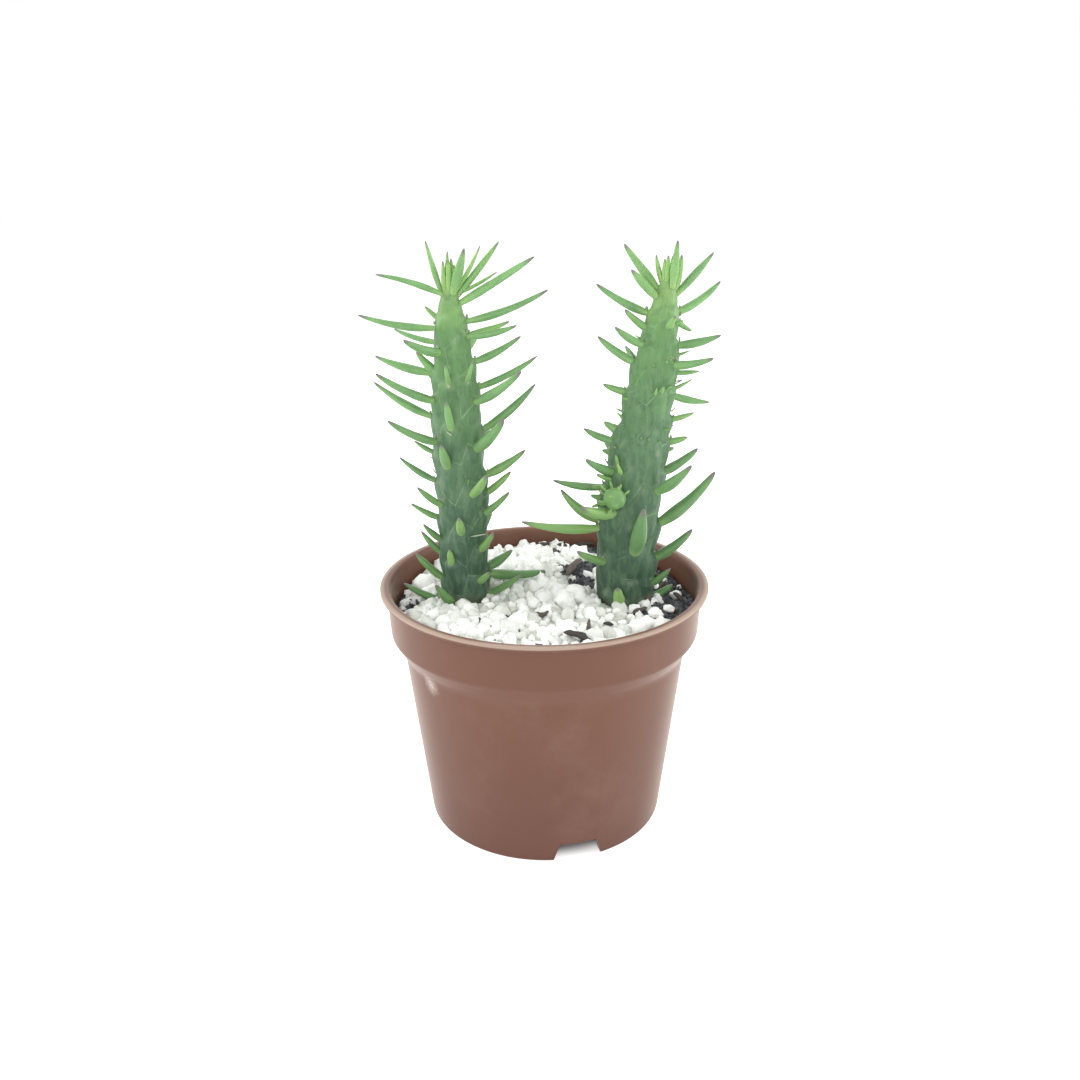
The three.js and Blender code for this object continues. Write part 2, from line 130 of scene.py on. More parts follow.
def mesh_piece(
    name: str,
    points: np.ndarray,
    faces: list[tuple[int, ...]],
    material: bpy.types.Material,
    attributes: dict[str, np.ndarray] | None = None,
) -> bpy.types.Object:
    """Makes a closed, smooth shaded mesh object.

    Args:
        name: The piece's name.
        points: Corners in millimetres.
        faces: Corner numbers of each face.
        material: The finish.
        attributes: A number for each corner, by attribute name.

    Returns:
        The object, linked to the scene, with its faces pointing outwards.
    """
    mesh = bpy.data.meshes.new(name)
    mesh.from_pydata((np.asarray(points) * MM).tolist(), [], faces)
    for key, values in (attributes or {}).items():
        layer = mesh.attributes.new(key, "FLOAT", "POINT")
        layer.data.foreach_set("value", np.asarray(values, dtype=np.float32))
    work = bmesh.new()
    work.from_mesh(mesh)
    bmesh.ops.recalc_face_normals(work, faces=work.faces)
    work.to_mesh(mesh)
    work.free()
    mesh.polygons.foreach_set("use_smooth", [True] * len(mesh.polygons))
    mesh.materials.append(material)
    piece = bpy.data.objects.new(name, mesh)
    bpy.context.scene.collection.objects.link(piece)
    return piece


def loft(rings: np.ndarray, start: np.ndarray | None, end: np.ndarray | None) -> tuple[np.ndarray, list]:
    """Joins rings of points into one closed skin.

    Args:
        rings: An array of rings by points by three.
        start: The pole that closes the first ring, or None where the rings close on themselves.
        end: The pole that closes the last ring, or None.

    Returns:
        The corners and the faces.
    """
    count, sides = rings.shape[:2]
    points = rings.reshape(-1, 3)
    faces = []
    closed = start is None
    for r in range(count if closed else count - 1):
        low = r * sides
        high = ((r + 1) % count) * sides
        for s in range(sides):
            t = (s + 1) % sides
            faces.append((low + s, low + t, high + t, high + s))
    if not closed:
        first = len(points)
        points = np.vstack([points, start, end])
        last = (count - 1) * sides
        for s in range(sides):
            t = (s + 1) % sides
            faces.append((first, t, s))
            faces.append((first + 1, last + s, last + t))
    return points, faces


def join_meshes(parts: list[MeshParts]) -> MeshParts:
    """Puts several meshes into one.

    Args:
        parts: The corners, faces and attributes of each.

    Returns:
        The corners, faces and attributes of the whole.
    """
    points, faces, attributes, offset = [], [], {}, 0
    for part_points, part_faces, part_attributes in parts:
        points.append(part_points)
        faces += [tuple(i + offset for i in face) for face in part_faces]
        for key, values in part_attributes.items():
            attributes.setdefault(key, []).append(values)
        offset += len(part_points)
    return np.vstack(points), faces, {key: np.concatenate(v) for key, v in attributes.items()}


def settle(piece: bpy.types.Object, slot: str, *nodes: str) -> None:
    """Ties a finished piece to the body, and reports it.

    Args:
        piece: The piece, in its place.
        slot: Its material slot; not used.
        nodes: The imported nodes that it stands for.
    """
    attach(piece, BODY)
    if nodes:
        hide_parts(*nodes)
    LOG.info("%s: %d faces", piece.name, len(piece.data.polygons))


def settle_parts(
    name: str, parts: list[MeshParts], finish: bpy.types.Material, slot: str, *nodes: str
) -> None:
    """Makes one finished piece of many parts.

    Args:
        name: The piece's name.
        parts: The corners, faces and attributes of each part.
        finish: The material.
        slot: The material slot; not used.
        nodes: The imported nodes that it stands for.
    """
    points, faces, attributes = join_meshes(parts)
    settle(mesh_piece(name, points, faces, finish, attributes), slot, *nodes)


# ------------------------------------------------------------------------------------- node tree building


class TreeBuilder:
    """Adds nodes to a shader or geometry tree and wires them."""

    def __init__(self, tree: bpy.types.NodeTree) -> None:
        """Starts on a tree."""
        self.tree = tree

    def wire(self, node: bpy.types.Node, links: dict) -> None:
        """Sets or links a node's inputs.

        Args:
            node: The node.
            links: A value or an output socket for each input, by the input's name or number.
        """
        for key, value in links.items():
            socket = node.inputs[key]
            if isinstance(value, bpy.types.NodeSocket):
                self.tree.links.new(value, socket)
            else:
                socket.default_value = value

    def add(self, kind: str, links: dict | None = None, **settings: object) -> bpy.types.Node:
        """Adds a node.

        Args:
            kind: The node's type name.
            links: A value or an output socket for each input, by the input's name or number.
            settings: The node's own properties.

        Returns:
            The node.
        """
        node = self.tree.nodes.new(kind)
        for key, value in settings.items():
            setattr(node, key, value)
        self.wire(node, links or {})
        return node

    def math(self, operation: str, first: object, second: object = 0.0) -> bpy.types.NodeSocket:
        """The result of a Math node."""
        return self.add("ShaderNodeMath", {0: first, 1: second}, operation=operation).outputs[0]

    def vector_math(self, operation: str, first: object, second: object) -> bpy.types.NodeSocket:
        """The vector that a Vector Math node gives."""
        return self.add("ShaderNodeVectorMath", {0: first, 1: second}, operation=operation).outputs[0]

    def scaled(self, vector: object, factor: object) -> bpy.types.NodeSocket:
        """A vector times a number."""
        return self.add("ShaderNodeVectorMath", {0: vector, "Scale": factor}, operation="SCALE").outputs[0]

    def ramp(self, value: object, low: float, high: float) -> bpy.types.NodeSocket:
        """A smooth rise from 0 to 1 as value goes from low to high."""
        span = {"Value": value, "From Min": low, "From Max": high}
        return self.add("ShaderNodeMapRange", span, interpolation_type="SMOOTHSTEP").outputs[0]

    def mix(self, factor: object, first: object, second: object) -> bpy.types.NodeSocket:
        """A colour between two."""
        return self.add("ShaderNodeMix", {0: factor, 6: first, 7: second}, data_type="RGBA").outputs[2]

    def tint(self, colour: object, mask: object, strength: float, other: Colour) -> bpy.types.NodeSocket:
        """A colour with another laid over it where a mask says, at most as strongly as strength."""
        return self.mix(self.math("MULTIPLY", mask, strength), colour, other)

    def noise(self, where: object, scale: float, detail: float = 4.0, rough: float = 0.55) -> object:
        """Noise at a place, from 0 to 1."""
        links = {"Vector": where, "Scale": scale, "Detail": detail, "Roughness": rough}
        return self.add("ShaderNodeTexNoise", links).outputs["Fac"]

    def attribute(self, name: str) -> bpy.types.NodeSocket:
        """A number stored on the mesh."""
        return self.add("ShaderNodeAttribute", attribute_name=name).outputs["Fac"]

    def place(self) -> bpy.types.NodeSocket:
        """The place on the object, in metres."""
        return self.add("ShaderNodeTexCoord").outputs["Object"]

    def height_share(self, low: float, high: float) -> bpy.types.NodeSocket:
        """The share of the way from one height to another, in millimetres."""
        up = self.add("ShaderNodeSeparateXYZ", {0: self.place()}).outputs["Z"]
        return self.ramp(up, low * MM, high * MM)

    def glancing(self, blend: float, start: float) -> bpy.types.NodeSocket:
        """A mask that rises towards the outline, from a share start of the way there."""
        facing = self.add("ShaderNodeLayerWeight", {"Blend": blend}).outputs["Facing"]
        return self.ramp(facing, start, 1.0)

    def chance(self, kind: str, low: object, high: object, seed: object) -> bpy.types.NodeSocket:
        """Draws a random value for each point.

        Args:
            kind: The value's type: FLOAT, FLOAT_VECTOR or INT.
            low: The least value.
            high: The greatest value.
            seed: The number of the draw.

        Returns:
            The value's socket.
        """
        first, output = {"FLOAT": (2, 1), "FLOAT_VECTOR": (0, 0), "INT": (4, 2)}[kind]
        links = {first: low, first + 1: high, "Seed": seed}
        return self.add("FunctionNodeRandomValue", links, data_type=kind).outputs[output]


def shader_group(name: str, inputs: dict[str, float], outputs: dict[str, str]) -> tuple:
    """Starts a shared shader effect.

    Args:
        name: The group's name.
        inputs: Each number that the effect takes, with its default.
        outputs: The type of each result, Float or Color.

    Returns:
        The group, its builder, and its input and output nodes.
    """
    group = bpy.data.node_groups.new(name, "ShaderNodeTree")
    group.interface.new_socket("Place", in_out="INPUT", socket_type="NodeSocketVector")
    for key, value in inputs.items():
        socket = group.interface.new_socket(key, in_out="INPUT", socket_type="NodeSocketFloat")
        socket.default_value = value
    for key, kind in outputs.items():
        group.interface.new_socket(key, in_out="OUTPUT", socket_type="NodeSocket" + kind)
    build = TreeBuilder(group)
    return group, build, build.add("NodeGroupInput"), build.add("NodeGroupOutput")


def make_grain_group() -> bpy.types.NodeTree:
    """Makes the fine and coarse grain: a bump height and a patchy mask, by the lumps per metre.

    Returns:
        The group.
    """
    group, build, given, result = shader_group(
        "skin_grain",
        {"Coarse": 150.0, "Fine": 1500.0, "Fine share": 0.4},
        {"Height": "Float", "Patches": "Float"},
    )
    place, share = given.outputs["Place"], given.outputs["Fine share"]
    coarse = build.noise(place, given.outputs["Coarse"], 3.0, 0.5)
    fine = build.noise(place, given.outputs["Fine"], 5.0, 0.5)
    coarse_part = build.math("MULTIPLY", coarse, build.math("SUBTRACT", 1.0, share))
    height = build.math("ADD", build.math("MULTIPLY", fine, share), coarse_part)
    build.wire(result, {"Height": height, "Patches": build.ramp(coarse, 0.38, 0.66)})
    return group


def subsurface(weight: float, depth: float, reach: tuple[float, float, float]) -> dict:
    """The Principled inputs for light that enters to a depth in millimetres, by colour."""
    return {"Subsurface Weight": weight, "Subsurface Radius": reach, "Subsurface Scale": depth * MM}


@dataclass(frozen=True)
class Finish:
    """What every finish shares: a Principled surface with grain."""

    name: str
    roughness: float
    bump: float
    coarse: float
    fine: float

    def start(self) -> tuple[bpy.types.Material, TreeBuilder, bpy.types.Node, bpy.types.NodeSocket]:
        """Makes the material with its grain.

        Returns:
            The material, its builder, its Principled node and the grain's patch mask.
        """
        material = bpy.data.materials.new(self.name)
        material.use_nodes = True
        build = TreeBuilder(material.node_tree)
        surface = material.node_tree.nodes["Principled BSDF"]
        grain = build.add("ShaderNodeGroup", node_tree=bpy.data.node_groups["skin_grain"])
        build.wire(grain, {"Place": build.place(), "Coarse": self.coarse, "Fine": self.fine})
        relief = {"Height": grain.outputs["Height"], "Strength": self.bump, "Distance": BUMP_DEPTH * MM}
        bump = build.add("ShaderNodeBump", relief)
        build.wire(surface, {"Normal": bump.outputs["Normal"], "Roughness": self.roughness})
        return material, build, surface, grain.outputs["Patches"]

@dataclass(frozen=True)
class LeafFinish(Finish):
    """Waxy succulent leaf: pale at its foot, green along its length, purple grey at its point."""

    foot: Colour = rgb(0.32, 0.50, 0.18)
    low: Colour = rgb(0.135, 0.275, 0.100)
    high: Colour = rgb(0.210, 0.410, 0.155)
    shade: Colour = rgb(0.080, 0.180, 0.072)
    young: Colour = rgb(0.300, 0.500, 0.150)
    # Pale green of the painted rim light towards the outline.
    painted_rim_light: Colour = rgb(0.42, 0.58, 0.34)
    point: Colour = rgb(0.17, 0.13, 0.15)
    heights: tuple[float, float] = (66.0, 138.0)
    flesh: tuple[float, float, float] = (0.6, 1.0, 0.3)

    def build(self) -> bpy.types.Material:
        """Makes the material.

        Returns:
            The material.
        """
        material, build, surface, patches = self.start()
        along = build.attribute("along")
        colour = build.mix(build.height_share(*self.heights), self.low, self.high)
        colour = build.tint(colour, patches, 0.28, self.shade)
        colour = build.tint(colour, build.attribute("tone"), 0.3, self.shade)
        colour = build.tint(colour, build.attribute("youth"), 0.8, self.young)
        colour = build.tint(colour, build.ramp(along, 0.3, 0.0), 0.7, self.foot)
        # Paler towards the outline: a painted rim light.
        colour = build.tint(colour, build.glancing(0.35, 0.45), 0.45, self.painted_rim_light)
        colour = build.tint(colour, build.ramp(along, 0.82, 0.985), 0.85, self.point)
        build.wire(surface, {"Base Color": colour, "Specular IOR Level": 0.4})
        build.wire(surface, subsurface(0.25, 1.2, self.flesh))
        return material


@dataclass(frozen=True)
class StemFinish(Finish):
    """Stem skin: blue green and dull at the soil, fresh green at the top, with pale seams and areoles."""

    low: Colour = rgb(0.036, 0.082, 0.052)
    middle: Colour = rgb(0.072, 0.155, 0.074)
    high: Colour = rgb(0.125, 0.27, 0.085)
    fresh: Colour = rgb(0.30, 0.50, 0.14)
    # Pale colour of the real seams, streaks and veins, also laid towards the outline as a painted rim light.
    seam_and_rim_light: Colour = rgb(0.26, 0.42, 0.22)
    felt: Colour = rgb(0.55, 0.62, 0.40)
    bark: Colour = rgb(0.12, 0.11, 0.075)
    middle_heights: tuple[float, float] = (62.0, 98.0)
    high_heights: tuple[float, float] = (92.0, 136.0)
    fresh_heights: tuple[float, float] = (128.0, 142.0)
    bark_heights: tuple[float, float] = (57.0, 64.0)
    flesh: tuple[float, float, float] = (0.6, 1.0, 0.3)

    def build(self) -> bpy.types.Material:
        """Makes the material.

        Returns:
            The material.
        """
        material, build, surface, patches = self.start()
        place = build.place()
        colour = build.mix(build.height_share(*self.middle_heights), self.low, self.middle)
        colour = build.mix(build.height_share(*self.high_heights), colour, self.high)
        colour = build.tint(colour, build.height_share(*self.fresh_heights), 0.85, self.fresh)
        colour = build.tint(colour, patches, 0.28, self.low)
        drawn = build.vector_math("MULTIPLY", place, (1.0, 1.0, 0.32))
        streaks = build.ramp(build.noise(drawn, 620.0, 5.0, 0.65), 0.4, 0.66)
        colour = build.tint(colour, streaks, 0.2, self.seam_and_rim_light)
        flecks = build.ramp(build.noise(place, 330.0, 3.0), 0.52, 0.7)
        colour = build.tint(colour, flecks, 0.35, self.low)
        patchy = build.ramp(build.noise(place, 120.0, 2.0), 0.42, 0.6)
        creases = build.math("MULTIPLY", build.ramp(build.attribute("seam_gap"), 0.34, 0.05), patchy)
        colour = build.tint(colour, creases, 0.5, self.seam_and_rim_light)
        colour = build.tint(colour, self.veins(build, place), 0.16, self.seam_and_rim_light)
        colour = build.tint(colour, build.attribute("areole"), 0.2, self.felt)
        # Paler towards the outline: a painted rim light in the seam colour.
        colour = build.tint(colour, build.glancing(0.3, 0.5), 0.55, self.seam_and_rim_light)
        corky = build.math("SUBTRACT", 1.0, build.height_share(*self.bark_heights))
        colour = build.tint(colour, corky, 0.6, self.bark)
        build.wire(surface, {"Base Color": colour, "Specular IOR Level": 0.4})
        build.wire(surface, subsurface(0.12, 1.5, self.flesh))
        return material

    def veins(self, build: TreeBuilder, place: bpy.types.NodeSocket) -> bpy.types.NodeSocket:
        """Makes a mask of fine wandering lines, in patches.

        Args:
            build: The material's builder.
            place: The place on the stem.

        Returns:
            The mask's socket.
        """
        warp = build.add("ShaderNodeTexNoise", {"Vector": place, "Scale": 260.0, "Detail": 2.0})
        swing = build.scaled(warp.outputs["Color"], 0.0015)
        veined = build.vector_math("ADD", build.vector_math("MULTIPLY", place, (1.0, 1.0, 0.3)), swing)
        links = {"Vector": veined, "Scale": 300.0}
        cells = build.add("ShaderNodeTexVoronoi", links, feature="DISTANCE_TO_EDGE")
        patches = build.ramp(build.noise(place, 210.0, 2.0), 0.5, 0.62)
        return build.math("MULTIPLY", build.ramp(cells.outputs["Distance"], 0.05, 0.008), patches)


@dataclass(frozen=True)
class PlasticFinish(Finish):
    """Moulded brown plastic with a dusty film, worn edges and a dried splash."""

    body: Colour = rgb(0.142, 0.058, 0.033)
    # Darker brown: painted shade towards the foot, and the colour of the coarse mottle.
    shaded_foot_and_mottle: Colour = rgb(0.128, 0.050, 0.031)
    dust: Colour = rgb(0.30, 0.20, 0.155)
    # Pale colour of the painted sheen towards the outline.
    pale: Colour = rgb(0.62, 0.50, 0.42)
    worn: Colour = rgb(0.45, 0.34, 0.27)
    splash: Colour = rgb(0.75, 0.70, 0.65)
    splash_at: tuple[float, float, float] = (-28.8, -24.4, 46.4)
    splash_rings: tuple[tuple[float, float, float], ...] = ((5.8, 2.8, 0.3), (3.2, 2.4, 0.7))
    # Heights over which the painted shade at the foot gives way to the body colour.
    heights: tuple[float, float] = (5.0, 50.0)

    def build(self) -> bpy.types.Material:
        """Makes the material.

        Returns:
            The material.
        """
        material, build, surface, patches = self.start()
        place = build.place()
        # Darker towards the foot: painted shade.
        colour = build.mix(build.height_share(*self.heights), self.shaded_foot_and_mottle, self.body)
        film = build.ramp(build.noise(place, 42.0, 6.0, 0.62), 0.45, 0.8)
        colour = build.tint(colour, film, 0.22, self.dust)
        colour = build.tint(colour, patches, 0.10, self.shaded_foot_and_mottle)
        # Paler towards the outline: a painted sheen of the white surroundings.
        colour = build.tint(colour, build.glancing(0.3, 0.4), 0.5, self.pale)
        colour = build.tint(colour, build.attribute("edge"), 0.8, self.worn)
        centre = tuple(v * MM for v in self.splash_at)
        away = build.add("ShaderNodeVectorMath", {0: place, 1: centre}, operation="DISTANCE")
        ragged = build.math("MULTIPLY", build.noise(place, 900.0, 5.0, 0.7), 0.004)
        reach = build.math("ADD", away.outputs["Value"], ragged)
        for outer, inner, strength in self.splash_rings:
            colour = build.tint(colour, build.ramp(reach, outer * MM, inner * MM), strength, self.splash)
        rough = build.math("ADD", build.math("MULTIPLY", film, 0.14), self.roughness)
        build.wire(surface, {"Base Color": colour, "Roughness": rough, "Specular IOR Level": 0.36})
        return material


@dataclass(frozen=True)
class GrainFinish(Finish):
    """Loose grains, each with a tone of its own between two colours."""

    light: Colour = rgb(0.90, 0.92, 0.88)
    dark: Colour = rgb(0.72, 0.78, 0.70)
    pit: Colour = rgb(0.5, 0.52, 0.46)
    pit_share: float = 0.3
    glow: float = 0.0
    rarity: float = 1.0

    def build(self) -> bpy.types.Material:
        """Makes the material.

        Returns:
            The material.
        """
        material, build, surface, patches = self.start()
        tone = build.math("POWER", build.attribute("tone"), self.rarity)
        colour = build.tint(build.mix(tone, self.light, self.dark), patches, self.pit_share, self.pit)
        build.wire(surface, {"Base Color": colour, "Specular IOR Level": 0.25})
        if self.glow:
            build.wire(surface, subsurface(self.glow, 1.2, (1.0, 1.0, 0.95)))
        return material


@dataclass
class Finishes:
    """Every material of the object, made once."""

    leaf: bpy.types.Material = field(init=False)
    stem: bpy.types.Material = field(init=False)
    shoot: bpy.types.Material = field(init=False)
    pot: bpy.types.Material = field(init=False)
    perlite: bpy.types.Material = field(init=False)
    peat: bpy.types.Material = field(init=False)
    bark: bpy.types.Material = field(init=False)
    spine: bpy.types.Material = field(init=False)
    felt: bpy.types.Material = field(init=False)

    def __post_init__(self) -> None:
        """Builds the shared grain, then the materials."""
        make_grain_group()
        self.leaf = LeafFinish("leaf_skin", roughness=0.42, bump=0.14, coarse=260.0, fine=2600.0).build()
        self.stem = StemFinish("stem_skin", roughness=0.5, bump=0.45, coarse=210.0, fine=1900.0).build()
        self.shoot = LeafFinish("shoot_skin", roughness=0.45, bump=0.4, coarse=300.0, fine=2400.0).build()
        self.pot = PlasticFinish("pot_plastic", roughness=0.44, bump=0.12, coarse=90.0, fine=2200.0).build()
        self.perlite = GrainFinish(
            "perlite_grain",
            0.85,
            0.9,
            420.0,
            2600.0,
            light=rgb(0.97, 0.975, 0.95),
            # The dark tone serves the rare grey grains and the painted shade on the bed between the grains.
            dark=rgb(0.55, 0.57, 0.51),
            pit=rgb(0.62, 0.64, 0.57),
            pit_share=0.2,
            glow=0.12,
            rarity=3.5,
        ).build()
        peat_light = rgb(0.150, 0.155, 0.165)
        peat_dark = rgb(0.045, 0.047, 0.052)
        self.peat = GrainFinish(
            "peat_crumb", 0.95, 1.0, 500.0, 3000.0, light=peat_light, dark=peat_dark, pit=peat_dark
        ).build()
        bark_light = rgb(0.125, 0.105, 0.085)
        bark_dark = rgb(0.042, 0.038, 0.034)
        self.bark = GrainFinish(
            "bark_chip", 0.8, 1.0, 350.0, 1800.0, light=bark_light, dark=bark_dark, pit=bark_dark
        ).build()
        self.spine = GrainFinish(
            "spine", 0.5, 0.1, 500.0, 3000.0, light=rgb(0.55, 0.58, 0.42), dark=rgb(0.10, 0.075, 0.07)
        ).build()
        self.felt = GrainFinish(
            "areole_felt", 0.9, 0.9, 900.0, 4000.0, light=rgb(0.32, 0.44, 0.23), dark=rgb(0.19, 0.29, 0.14)
        ).build()


# --------------------------------------------------------------------------------------------- the studio


@dataclass
class Studio:
    """The camera, the pale floor and the soft white light."""

    lens: float = 35.49
    sensor: float = 36.0
    camera_at: tuple[float, float, float] = (-0.99, -258.5, 167.9)
    pitch_down: float = 19.66
    roll: float = -0.44
    floor_size: float = 6000.0
    floor_gap: float = 0.02
    floor_glow: float = 0.4
    floor_bounce: float = 0.3
    shaded_radius: float = 25.0
    clear_radius: float = 31.0
    seen_strength: float = 1.0
    fill_strength: float = 0.55
    lamp_aim: tuple[float, float, float] = (0.0, 0.0, 70.0)
    lamps: tuple[tuple, ...] = (
        ("side_left", (-600.0, 20.0, 330.0), 500.0, 2.7),
        ("side_right", (600.0, 20.0, 330.0), 500.0, 2.7),
        ("front", (0.0, -700.0, 330.0), 600.0, 2.2),
        ("back", (0.0, 700.0, 380.0), 600.0, 1.8),
        ("top", (0.0, 60.0, 700.0), 600.0, 1.5),
    )

    def build(self) -> None:
        """Makes the camera, the floor, the world and the lamps."""
        self.make_camera()
        self.make_floor()
        self.make_world()
        for lamp in self.lamps:
            self.make_lamp(*lamp)
        settings = bpy.context.scene.view_settings
        settings.view_transform = "Standard"
        settings.look = "None"

    def make_camera(self) -> None:
        """Makes the camera and sets it as the scene's."""
        data = bpy.data.cameras.new("studio_camera")
        data.lens = self.lens
        data.sensor_width = self.sensor
        data.clip_start = 0.01
        camera = bpy.data.objects.new("studio_camera", data)
        turn = Matrix.Rotation(math.radians(90.0 - self.pitch_down), 4, "X")
        roll = Matrix.Rotation(math.radians(self.roll), 4, "Z")
        camera.matrix_world = Matrix.Translation(Vector(self.camera_at) * MM) @ turn @ roll
        bpy.context.scene.collection.objects.link(camera)
        bpy.context.scene.camera = camera

    def make_floor(self) -> None:
        """Makes the pale floor under the foot of the pot."""
        half = self.floor_size / 2.0
        corners = [(-half, -half, 0.0), (half, -half, 0.0), (half, half, 0.0), (-half, half, 0.0)]
        mesh = bpy.data.meshes.new("floor")
        mesh.from_pydata([tuple(v * MM for v in corner) for corner in corners], [], [(0, 1, 2, 3)])
        floor = bpy.data.objects.new("floor", mesh)
        floor.location.z = -self.floor_gap * MM
        bpy.context.scene.collection.objects.link(floor)
        material = bpy.data.materials.new("floor_white")
        material.use_nodes = True
        surface = material.node_tree.nodes["Principled BSDF"]
        build = TreeBuilder(material.node_tree)
        build.wire(surface, {"Base Color": rgb(0.92, 0.92, 0.92), "Emission Color": rgb(1.0, 1.0, 1.0)})
        build.wire(surface, {"Roughness": 0.9, "Specular IOR Level": 0.0})
        away = build.add("ShaderNodeVectorMath", {0: build.place()}, operation="LENGTH").outputs["Value"]
        clear = build.ramp(away, self.shaded_radius * MM, self.clear_radius * MM)
        seen = build.add("ShaderNodeLightPath").outputs["Is Camera Ray"]
        shown = build.math("ADD", self.floor_bounce, build.math("MULTIPLY", seen, self.floor_glow))
        build.wire(surface, {"Emission Strength": build.math("MULTIPLY", clear, shown)})
        mesh.materials.append(material)

    def make_world(self) -> None:
        """Makes the even white surroundings, which light the plant less than they look."""
        world = bpy.data.worlds.new("studio_white")
        world.use_nodes = True
        build = TreeBuilder(world.node_tree)
        seen = build.add("ShaderNodeLightPath").outputs["Is Camera Ray"]
        more = build.math("MULTIPLY", seen, self.seen_strength - self.fill_strength)
        strength = build.math("ADD", more, self.fill_strength)
        build.wire(world.node_tree.nodes["Background"], {"Color": rgb(1.0, 1.0, 1.0), "Strength": strength})
        bpy.context.scene.world = world

    def make_lamp(self, name: str, at: tuple[float, float, float], size: float, power: float) -> None:
        """Makes a square area lamp aimed at the plant.

        Args:
            name: The lamp's name.
            at: Where it stands, in millimetres.
            size: Its side, in millimetres.
            power: Its strength in watts.
        """
        data = bpy.data.lights.new(name, "AREA")
        data.size = size * MM
        data.energy = power
        lamp = bpy.data.objects.new(name, data)
        lamp.location = Vector(at) * MM
        aim = Vector(self.lamp_aim) - Vector(at)
        lamp.rotation_euler = aim.to_track_quat("-Z", "Y").to_euler()
        bpy.context.scene.collection.objects.link(lamp)


# ------------------------------------------------------------------------------------------------ the pot


def rounded(corners: list[tuple[float, float, float]], steps: int = 5) -> list[tuple[float, float]]:
    """A profile with its corners rounded.

    Args:
        corners: Radius, height and rounding of each corner.
        steps: Points along each rounding.

    Returns:
        The radius and height of each point.
    """
    points = []
    for i, (radius, height, rounding) in enumerate(corners):
        here = Vector((radius, height))
        if rounding == 0.0 or i in (0, len(corners) - 1):
            points.append(tuple(here))
            continue
        before = Vector(corners[i - 1][:2]) - here
        after = Vector(corners[i + 1][:2]) - here
        first = here + before.normalized() * min(rounding, before.length * 0.49)
        last = here + after.normalized() * min(rounding, after.length * 0.49)
        for k in range(steps + 1):
            t = k / steps
            points.append(tuple(first * (1 - t) ** 2 + here * 2 * t * (1 - t) + last * t**2))
    return points


